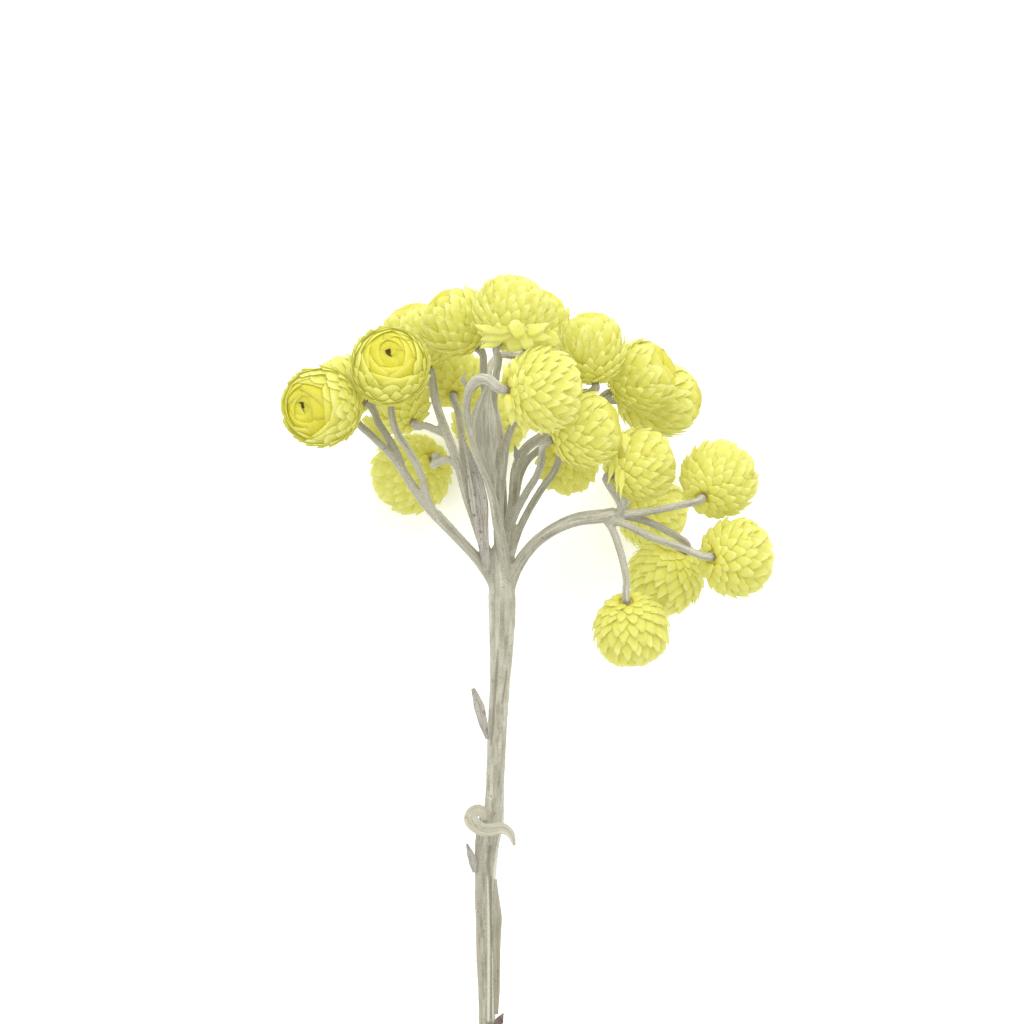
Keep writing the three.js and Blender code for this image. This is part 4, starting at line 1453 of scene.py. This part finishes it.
STEM = GrownStem(
    main=(
        ((-3.8, 0.0, 1.2), 1.25), ((-3.75, 12.0, 4.4), 1.3), ((-4.0, 25.0, 7.7), 1.3),
        ((-4.1, 35.5, 10.3), 1.5), ((-3.4, 40.5, 11.6), 1.5), ((-2.7, 45.6, 12.9), 1.45),
        ((-2.3, 54.6, 15.1), 1.4), ((-1.95, 60.6, 16.6), 1.45), ((-1.6, 68.1, 18.4), 1.48),
        ((-1.5, 75.6, 20.2), 1.75), ((-1.7, 80.0, 21.3), 2.05), ((-1.9, 83.6, 22.0), 1.2),
    ),
    raised=(
        Stalk(
            (
                (-1.5, 51.0, 14.0), (-1.5, 42.3, 12.0), (-2.2, 38.8, 11.5), (-2.6, 35.0, 10.75),
                (-2.86, 30.6, 9.9), (-2.86, 12.0, 5.35),
            ),
            (0.28, 0.34, 0.34, 0.25, 0.18, 0.18),
        ),
        Stalk(
            (
                (-3.65, 34.0, 11.3), (-3.58, 28.0, 9.8), (-3.55, 20.0, 7.75), (-3.55, 12.0, 5.7),
            ),
            (0.1, 0.15, 0.16, 0.15),
        ),
    ),
    # the grooves between the strands, painted dark as shade
    shade_lines=(
        Stalk(
            (
                (-1.78, 72.6, 21.15), (-2.22, 65.7, 19.2), (-2.57, 61.3, 18.1), (-2.84, 56.9, 16.95),
                (-3.18, 53.8, 16.05),
            ),
            (0.1, 0.16, 0.14, 0.1),
        ),
        Stalk(((-0.82, 66.2, 19.15), (-0.91, 63.9, 18.6), (-1.5, 60.0, 17.85)), (0.08, 0.14, 0.06)),
        Stalk(
            (
                (-3.3, 38.4, 12.5), (-3.6, 35.85, 11.8), (-3.3, 32.9, 10.9), (-3.2, 20.0, 7.6),
                (-3.2, 12.4, 5.7),
            ),
            (0.2, 0.26, 0.12, 0.1, 0.1),
        ),
    ),
    others=(
        # the sheath strand at the left
        Stalk(
            (
                (-4.3, 43.6, 12.6), (-4.9, 39.9, 11.6), (-4.9, 34.0, 10.2), (-4.8, 26.1, 8.4),
                (-4.6, 15.6, 5.8),
            ),
            (0.5, 0.7, 0.6, 0.4, 0.3),
        ),
        # the branches that carry more than one head
        Stalk(
            (
                (-2.2, 77.0, 20.4), (-3.5, 79.4, 21.0), (-5.1, 81.7, 22.0), (-6.85, 83.6, 23.0),
                (-9.0, 85.9, 24.1), (-11.5, 88.5, 25.2),
            ),
            (0.9, 0.84, 0.8, 0.78, 0.84, 0.9),
        ),
        Stalk(
            (
                (-11.4, 88.2, 25.1), (-13.1, 90.2, 25.7), (-15.1, 93.0, 26.3), (-16.2, 94.8, 26.7),
                (-17.4, 96.5, 27.0),
            ),
            (0.75, 0.66),
        ),
        Stalk(
            (
                (-0.8, 75.6, 20.2), (-0.1, 78.6, 20.8), (1.2, 81.3, 21.6), (3.45, 84.15, 23.0),
                (6.45, 86.3, 24.6), (9.45, 87.6, 25.8), (13.2, 88.15, 26.8), (15.4, 88.5, 27.1),
            ),
            (1.0, 0.95, 0.9, 0.88, 0.92, 1.0, 1.12, 1.05),
        ),
    ),
    peduncles={
        "head_01": ((-17.2, 96.2, 27.0), (-19.05, 98.3, 27.1), (-21.0, 100.2, 27.3), (-22.8, 101.9, 27.6)),
        "head_02": (
            (-11.4, 88.4, 25.2), (-12.6, 90.6, 26.1), (-13.6, 94.4, 27.6), (-15.2, 97.6, 28.8),
            (-17.6, 101.6, 29.8),
        ),
        "head_03": (
            (-2.2, 78.0, 20.6), (-3.3, 80.8, 21.5), (-5.6, 87.6, 22.4), (-6.7, 90.8, 22.5),
            (-8.3, 96.6, 22.1), (-10.0, 101.1, 21.0), (-11.5, 105.6, 20.1),
        ),
        "head_04": (
            (-1.9, 79.0, 20.6), (-2.1, 83.9, 21.6), (-2.7, 93.6, 23.5), (-3.3, 101.1, 25.0),
            (-3.8, 105.6, 25.8), (-4.3, 108.6, 26.3),
        ),
        "head_05": (
            (-1.6, 79.0, 21.0), (-1.9, 84.0, 22.8), (-2.3, 93.6, 25.2), (-2.6, 101.1, 26.5),
            (-2.7, 105.6, 29.2), (-2.4, 109.0, 33.0), (-2.0, 111.6, 36.4),
        ),
        "head_06": (
            (-1.3, 79.0, 20.4), (-1.1, 84.6, 19.4), (-1.4, 93.6, 17.2), (-1.8, 101.1, 15.4),
            (-2.9, 105.6, 13.8), (-3.6, 108.9, 11.6), (-3.0, 111.4, 9.0), (-1.4, 112.6, 6.4),
        ),
        "head_07": (
            (-1.6, 80.0, 21.4), (-1.8, 87.6, 23.1), (-1.3, 95.1, 25.0), (-0.2, 101.1, 27.0),
            (1.9, 103.8, 28.2), (5.2, 105.6, 29.0), (9.0, 106.6, 29.5),
        ),
        "head_08": (
            (-1.3, 77.0, 20.6), (-1.0, 80.4, 22.0), (-1.5, 84.0, 23.8), (-2.1, 87.0, 25.0),
            (-2.8, 90.6, 26.6), (-3.8, 93.6, 28.3), (-5.1, 96.6, 30.2), (-6.1, 99.8, 32.2),
            (-6.7, 103.0, 34.0), (-6.75, 105.2, 35.8), (-6.2, 107.3, 38.0), (-4.9, 108.5, 40.2),
            (-3.2, 108.3, 42.4),
        ),
        "head_09": (
            (-0.3, 86.4, 21.6), (0.9, 89.4, 22.8), (2.4, 92.1, 24.4), (3.7, 94.2, 26.0),
            (4.4, 96.2, 27.6), (4.5, 98.4, 29.0),
        ),
        "head_10": (
            (-1.4, 79.0, 21.0), (-0.6, 85.6, 21.4), (0.2, 90.6, 21.6), (0.6, 95.0, 21.8),
            (2.0, 98.2, 22.0), (5.0, 100.4, 22.2), (9.4, 102.8, 22.3), (12.8, 104.9, 22.4),
        ),
        "head_11": (
            (-1.2, 79.0, 20.4), (0.2, 88.6, 19.6), (0.75, 92.1, 19.5), (1.2, 94.3, 19.6),
            (2.3, 96.5, 19.8), (4.6, 98.6, 19.8), (7.2, 101.2, 18.6), (10.0, 103.4, 16.2),
            (12.6, 104.9, 14.2),
        ),
        "head_12": ((14.4, 88.4, 27.0), (16.2, 88.8, 27.6), (16.2, 90.0, 28.6)),
        "head_13": (
            (-0.9, 79.0, 20.4), (0.1, 83.2, 20.8), (1.2, 86.4, 21.2), (2.9, 89.7, 21.6),
            (4.7, 92.6, 21.9), (6.2, 94.6, 22.1),
        ),
        "head_14": (
            (14.6, 88.6, 26.6), (16.2, 88.9, 25.0), (17.0, 89.4, 19.0), (17.2, 89.8, 13.0),
            (17.2, 90.2, 9.6),
        ),
        "head_15": ((14.4, 88.4, 27.1), (17.6, 88.5, 27.2), (20.7, 88.9, 27.6), (25.2, 89.8, 28.2)),
        "head_16": ((13.2, 88.0, 26.9), (16.8, 87.0, 27.7), (20.7, 85.1, 28.6), (25.2, 83.5, 29.5)),
        "head_17": ((14.4, 88.4, 26.9), (18.0, 88.0, 26.4), (20.9, 87.1, 25.8), (24.2, 85.4, 24.6)),
        "head_18": (
            (13.6, 88.2, 26.8), (14.9, 86.4, 27.0), (15.9, 83.9, 27.5), (16.8, 80.4, 28.6),
            (17.1, 78.6, 29.2),
        ),
        "head_19": ((-7.8, 95.2, 22.2), (-9.3, 96.6, 20.6), (-11.0, 96.3, 16.5), (-11.8, 95.9, 12.4)),
        "head_20": ((-9.5, 100.2, 21.1), (-11.2, 101.0, 20.7), (-13.2, 101.8, 19.8)),
        "head_21": (
            (-2.2, 79.0, 20.2), (-4.5, 85.4, 20.5), (-6.3, 91.4, 20.5), (-7.2, 96.5, 20.0),
            (-7.6, 100.4, 19.4), (-8.2, 104.4, 18.2),
        ),
        "head_22": ((-1.8, 79.6, 19.8), (-1.9, 86.1, 17.6), (-2.6, 93.6, 15.0), (-3.1, 97.6, 13.2)),
        "head_23": ((-16.4, 95.4, 26.8), (-17.2, 97.6, 26.6), (-18.6, 100.0, 26.2), (-20.0, 102.2, 25.6)),
    },
    unusual={
        "head_03": (0.7, 0.7, 0.66),
        "head_08": (0.85, 0.85, 0.8, 0.6, 0.5, 0.5, 0.62, 0.85, 0.8),
        "head_10": (0.8, 0.8, 0.75),
    },
)


@dataclass(frozen=True)
class Wool:
    """Short wool that stands off the felted stem."""

    per_square_mm: float = 3.2
    hair_length: float = 0.34
    hair_radius: float = 0.045
    hair_root: float = -0.1  # where a hair starts, below the skin, over its length
    seed: int = 5

    def build(self, skin: bpy.types.Object, finish: bpy.types.Material) -> bpy.types.Object:
        """Builds the wool on a skin.

        Args:
            skin: the stem.
            finish: the wool's finish.

        Returns:
            The finished wool.
        """
        hair = object_of("hair", self._hair())
        values = {
            "Density": self.per_square_mm / MM**2,
            "Length": self.hair_length * MM,
            "Seed": self.seed,
            "Hair": hair,
        }
        mesh = WoolTree(finish).run(object_of("bare", skin.data.copy()), "stem_wool", values)
        remove(hair)
        wool = object_of("stem_wool", mesh)
        settle(mesh)
        dress(wool, Slot.STEM, [])
        return wool

    def _hair(self) -> bpy.types.Mesh:
        """Returns one hair of unit length: a three-sided spike with its root a little below the skin."""
        turns = [2 * math.pi * side / 3 for side in range(3)]
        radius = self.hair_radius
        ring = [(radius * math.cos(t), radius * math.sin(t), self.hair_root) for t in turns]
        mesh = bpy.data.meshes.new("hair")
        mesh.from_pydata([*ring, (0.0, 0.0, 1.0)], [], [(2, 1, 0), (0, 1, 3), (1, 2, 3), (2, 0, 3)])
        return mesh


# The leaves.


class Spine:
    """The middle line of a blade, with frames that turn along it without twist."""

    STEPS = 60

    def __init__(self, route: Sequence[Point], up: Point) -> None:
        """Works out the frames.

        Args:
            route: points of the line, in millimetres.
            up: the way the blade's face looks at its root.
        """
        line = smooth_line(route)
        places, self.length = shares(line)
        self.frames: list[tuple[Vector, Vector, Vector]] = []
        face = Vector(up).normalized()
        for step in range(self.STEPS + 1):
            share = step / self.STEPS
            index = max(1, min(sum(place < share for place in places), len(line) - 1))
            span = places[index] - places[index - 1]
            point = line[index - 1].lerp(line[index], (share - places[index - 1]) / span)
            along = (line[index] - line[index - 1]).normalized()
            face = (face - along * face.dot(along)).normalized()
            self.frames.append((point, along, face))

    def at(self, share: float) -> tuple[Vector, Vector, Vector]:
        """Returns the point, the side and the face at a share of the length."""
        place = min(max(share, 0.0), 1.0) * self.STEPS
        index = min(int(place), self.STEPS - 1)
        pairs = zip(self.frames[index], self.frames[index + 1])
        point, along, face = (first.lerp(second, place - index) for first, second in pairs)
        return point, along.cross(face).normalized(), face.normalized()


@dataclass(frozen=True)
class Blade:
    """A thin leaf or bract that bends, cups and waves along its spine, in millimetres."""

    name: str
    route: tuple[Point, ...]
    up: Point
    half_width: tuple[float, ...]
    roll: float  # angle in radians from the blade's middle to its edge, round its own axis
    finish: Optional[FeltFinish]
    slot: Slot
    wave: float = 0.06
    waves: float = 3.0
    crumple: float = 0.05
    thickness: float = 0.34
    across: int = 10
    lengthways: int = 36

    CRUMPLES = 1.3  # crumples to a millimetre
    MIDRIB = 0.12  # the midrib's depth and width over half the blade's width
    THIN_RIM = 0.6
    THIN_TIP = 0.55
    EASED_OVER = (-0.05, 0.0, 0.05)  # shares of the length that the width is evened out over

    def mesh(self) -> bpy.types.Mesh:
        """Returns the blade's closed mesh."""
        spine = Spine(self.route, self.up)

        def place(u: float, v: float) -> Vector:
            """Returns a point of the blade's middle layer."""
            side = 2 * u - 1
            widths = [read(self.half_width, v + shift) for shift in self.EASED_OVER]
            half = sum(widths) / len(widths)
            point, across, face = spine.at(v)
            radius = half / self.roll
            flat = radius * math.sin(self.roll * side)
            rise = radius * (1 - math.cos(self.roll * side))
            rise += self.wave * side * abs(side) * math.sin(2 * math.pi * self.waves * v)
            spot = Vector((side * half, v * spine.length / MM, 0.0)) * self.CRUMPLES
            rise += self.crumple * noise.noise(spot)
            rise -= self.MIDRIB * half * math.exp(-((side / self.MIDRIB) ** 2))
            return point + (across * flat + face * rise) * MM

        def thickness(u: float, v: float) -> float:
            """Returns the thickness, which thins out to the rim and the tip."""
            side = abs(2 * u - 1)
            return self.thickness * MM * (1 - self.THIN_RIM * side**3) * (1 - self.THIN_TIP * v**3)

        return Sheet(place, thickness, self.across, self.lengthways, spine.length).mesh(self.name)

    def build(self, material: bpy.types.Material) -> bpy.types.Object:
        """Builds the blade.

        Args:
            material: its finish.

        Returns:
            The finished blade, which stands for the node of its name.
        """
        mesh = self.mesh()
        mesh.materials.append(material)
        if self.finish is None:
            clear_root_shade(mesh)
            store(mesh, "level", [OPEN_LEVEL] * len(mesh.vertices))
            # the full tone, so that its edges take the brightest painted highlight though it lies in shade
            store(mesh, "tone", [1.0] * len(mesh.vertices))
        store(mesh, "cut", [0.0] * len(mesh.vertices))
        settle(mesh)
        piece = object_of(self.name + "_blade", mesh)
        dress(piece, self.slot, [self.name])
        return piece


BLADES = (
    Blade(
        "leaf_lance",
        ((-3.75, 54.7, 16.3), (-4.45, 57.7, 17.0), (-5.0, 59.9, 17.1), (-5.85, 62.3, 17.3)),
        (-0.35, -0.1, 0.9),
        (0.25, 0.75, 0.88, 0.3),
        0.36,
        LEAF_FELT,
        Slot.FELT,
    ),
    Blade(
        "leaf_curled",
        (
            (-4.2, 42.3, 13.5), (-4.4, 43.4, 13.7), (-5.1, 43.8, 13.6), (-5.95, 43.25, 13.5),
            (-6.05, 42.3, 13.9), (-5.25, 41.35, 14.4), (-4.2, 40.85, 14.6), (-3.0, 40.9, 14.7),
            (-1.5, 41.1, 14.4), (-0.4, 40.4, 13.9), (0.35, 38.6, 13.1),
        ),
        (0.3, 0.3, 1.0),
        (0.55, 0.9, 1.15, 1.2, 1.15, 1.05, 1.0, 1.0, 0.9, 0.65, 0.2),
        0.8,
        LEAF_PALE,
        Slot.PALE,
        lengthways=56,
    ),
    Blade(
        "leaf_stub",
        ((-5.55, 34.5, 11.0), (-6.0, 36.5, 11.6), (-6.8, 38.8, 11.7)),
        (-0.3, 0.0, 0.9),
        (0.4, 0.66, 0.55, 0.15),
        0.3,
        LEAF_FELT,
        Slot.FELT,
    ),
    Blade(
        "leaf_strap",
        (
            (-2.5, 33.4, 11.0), (-2.35, 30.0, 10.0), (-2.2, 27.7, 9.4), (-2.35, 24.6, 8.5),
            (-2.3, 20.0, 7.2), (-2.35, 12.9, 5.5),
        ),
        (0.45, 0.0, 0.9),
        (0.2, 0.6, 0.8, 0.52, 0.56, 0.25),
        0.24,
        LEAF_PALE,
        Slot.PALE,
        lengthways=60,
    ),
    Blade(
        "leaf_felted",
        (
            (-3.6, 79.8, 23.2), (-3.95, 81.8, 23.9), (-4.3, 84.4, 24.6), (-4.65, 87.6, 24.8),
            (-4.95, 90.6, 24.9), (-6.2, 96.4, 25.0), (-7.3, 99.9, 24.3),
        ),
        (-0.1, -0.1, 1.0),
        (0.45, 0.75, 1.05, 1.43, 1.25, 0.62, 0.16),
        0.6,
        LEAF_FELT,
        Slot.FELT,
        lengthways=64,
    ),
    Blade(
        "leaf_spoon",
        (
            (-3.2, 93.2, 26.8), (-3.5, 95.6, 27.6), (-4.0, 98.2, 28.8), (-4.35, 101.2, 30.2),
            (-4.3, 104.0, 31.8), (-3.8, 106.6, 33.4), (-3.3, 108.2, 34.4),
        ),
        (0.1, -0.4, 0.9),
        (0.4, 0.7, 1.5, 2.2, 2.5, 2.4, 1.7, 0.8, 0.4),
        0.75,
        LEAF_PALE,
        Slot.PALE,
        lengthways=56,
        across=14,
    ),
    Blade(
        "bract_loose",
        ((-17.8, 98.3, 24.8), (-19.2, 99.9, 24.8), (-20.8, 101.6, 24.8), (-22.2, 103.0, 24.7)),
        (0.1, -0.1, 1.0),
        (0.45, 0.95, 1.05, 0.5),
        0.3,
        None,
        Slot.BRACT,
        thickness=0.2,
    ),
    Blade(
        "leaf_withered",
        ((-3.1, 8.6, 5.4), (-2.6, 10.2, 5.8), (-2.0, 11.8, 5.9), (-1.3, 13.0, 5.6)),
        (0.2, -0.2, 1.0),
        (0.4, 0.8, 0.7, 0.14),
        0.4,
        LEAF_BROWN,
        Slot.WITHERED,
        crumple=0.3,
        wave=0.2,
    ),
)


def tiny_bract(width: float, up: Point, *route: Point) -> Blade:
    """Returns one of the stem's tiny bracts.

    Args:
        width: its width in millimetres.
        up: the way its face looks.
        route: its middle line, from the stem outwards.

    Returns:
        The bract.
    """
    half_width = (0.35 * width, 0.5 * width, 0.06)
    return Blade("tiny_bract", route, up, half_width, 0.5, STEM_FELT, Slot.STEM, across=6, lengthways=12)


TINY_BRACTS = (
    tiny_bract(1.1, (0.5, -0.3, 0.8), (-6.0, 106.9, 36.6), (-5.4, 107.6, 37.6), (-5.7, 108.9, 38.9)),
    tiny_bract(0.9, (-0.6, 0.1, 0.8), (-6.5, 107.2, 36.2), (-7.2, 108.5, 36.6), (-7.0, 109.7, 36.9)),
    tiny_bract(1.0, (0.3, -0.4, 0.8), (-0.9, 82.0, 22.4), (0.2, 82.8, 23.2), (0.5, 83.7, 23.6)),
    tiny_bract(1.1, (0.1, -0.3, 0.9), (0.9, 96.2, 21.8), (0.7, 97.6, 23.0), (0.4, 98.8, 23.6)),
)


def build_tiny_bracts(felt: bpy.types.Material) -> bpy.types.Object:
    """Builds the stem's tiny bracts as one piece, with the stem's finish."""
    meshes = [bract.mesh() for bract in TINY_BRACTS]
    for mesh in meshes:
        mesh.materials.append(felt)
    piece = object_of("stem_bracts", meshes[0])
    join(piece, meshes[1:])
    settle(piece.data)
    dress(piece, Slot.STEM, [])
    return piece


# Table, light and camera.


@dataclass(frozen=True)
class Studio:
    """A pale table, two broad soft lights and a camera that looks straight down."""

    looks_at: Point = (0.0, 88.8, 22.0)
    view_width: float = 153.6
    lens: float = 500.0
    sensor: float = 36.0
    table_size: float = 4.0
    table_colour: Colour = (0.93, 0.93, 0.92)
    table_glow: float = 0.2
    # place in the frame in metres, side in metres and power in watts
    key: tuple[Point, float, float] = ((0.10, 0.62, 0.62), 0.5, 6.6)
    fill: tuple[Point, float, float] = ((-0.55, -0.25, 0.60), 0.6, 1.0)
    surroundings: float = 1.08

    LIT = (0.0, 100.0, 22.0)  # the place that both lights look at
    CLIP = 20  # how many times nearer and farther than the sprig the camera sees
    GRAIN = (400.0, 3.0)  # the scale and detail of the noise in the table's paint
    GRAIN_TINT, GRAIN_ROUGHNESS, PLAIN_ROUGHNESS = 0.2, 0.1, 0.8
    BUMP_STRENGTH, BUMP = 0.05, 0.05 * MM

    def camera(self) -> None:
        """Sets the camera where the photograph's was."""
        data = bpy.data.cameras.new("camera")
        data.lens = self.lens
        data.sensor_width = self.sensor
        camera = bpy.data.objects.new("camera", data)
        bpy.context.scene.collection.objects.link(camera)
        height = self.view_width * MM * self.lens / self.sensor
        camera.location = to_frame(self.looks_at) + Vector((0, 0, height))
        data.clip_start = height / self.CLIP
        data.clip_end = height * self.CLIP
        bpy.context.scene.camera = camera

    def table(self) -> None:
        """Lays the table under the sprig."""
        half = self.table_size / 2
        mesh = bpy.data.meshes.new("table")
        corners = [(-half, -half, 0), (half, -half, 0), (half, half, 0), (-half, half, 0)]
        mesh.from_pydata(corners, [], [(0, 1, 2, 3)])
        graph, surface = new_material("table_paint")
        place = graph.add("ShaderNodeTexCoord", {}, {}, "Object")
        grain = graph.noise(place, *self.GRAIN)
        colour = graph.mix_colour(grain * self.GRAIN_TINT, self.table_colour, (1.0, 1.0, 1.0))
        normal = graph.bumped(grain, self.BUMP_STRENGTH, self.BUMP)
        surface.feed(colour, grain * self.GRAIN_ROUGHNESS + self.PLAIN_ROUGHNESS, normal)
        surface.light_up(colour, self.table_glow)
        mesh.materials.append(surface.material)
        table = object_of("table", mesh)

    def lights(self) -> None:
        """Hangs the lights and sets the pale surroundings."""
        self._area("key", *self.key)
        self._area("fill", *self.fill)
        world = bpy.data.worlds.new("surroundings")
        world.use_nodes = True
        sky = world.node_tree.nodes["Background"]
        sky.inputs["Color"].default_value = (1.0, 1.0, 1.0, 1.0)
        sky.inputs["Strength"].default_value = self.surroundings
        bpy.context.scene.world = world
        bpy.context.scene.view_settings.view_transform = "Standard"

    def _area(self, name: str, at: Point, size: float, power: float) -> None:
        """Hangs one square light that looks at the heads.

        Args:
            name: the light's name.
            at: its place in the frame, in metres.
            size: its side in metres.
            power: its power in watts.
        """
        data = bpy.data.lights.new(name, "AREA")
        data.size = size
        data.energy = power
        light = bpy.data.objects.new(name, data)
        bpy.context.scene.collection.objects.link(light)
        light.location = at
        way = to_frame(self.LIT) - Vector(at)
        light.rotation_euler = way.to_track_quat("-Z", "Y").to_euler()
        light.visible_camera = False


def write_sizes() -> None:
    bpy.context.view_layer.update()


def main() -> None:
    """Builds and dresses the sprig, then its table, light and camera."""
    logging.basicConfig(level=logging.INFO, format="%(message)s")
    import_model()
    studio = Studio()
    studio.camera()
    bract = BractFinish().material()
    spiral = SpiralTree(bract)
    forms = {form.name: object_of("form_" + form.name, form.shape.mesh(form.name)) for form in BractForm}
    for seed, head in enumerate(HEADS, FIRST_SEED):
        head.build(spiral, forms, bract, seed)
    for form in forms.values():
        remove(form)
    felt = STEM_FELT.material()
    stem = STEM.build(felt)
    Wool().build(stem, felt)
    build_tiny_bracts(felt)
    felts = {finish: finish.material() for finish in (LEAF_FELT, LEAF_PALE, LEAF_BROWN)}
    for blade in BLADES:
        blade.build(felts.get(blade.finish, bract))
    studio.table()
    studio.lights()
    write_sizes()


if __name__ == "__main__":
    main()
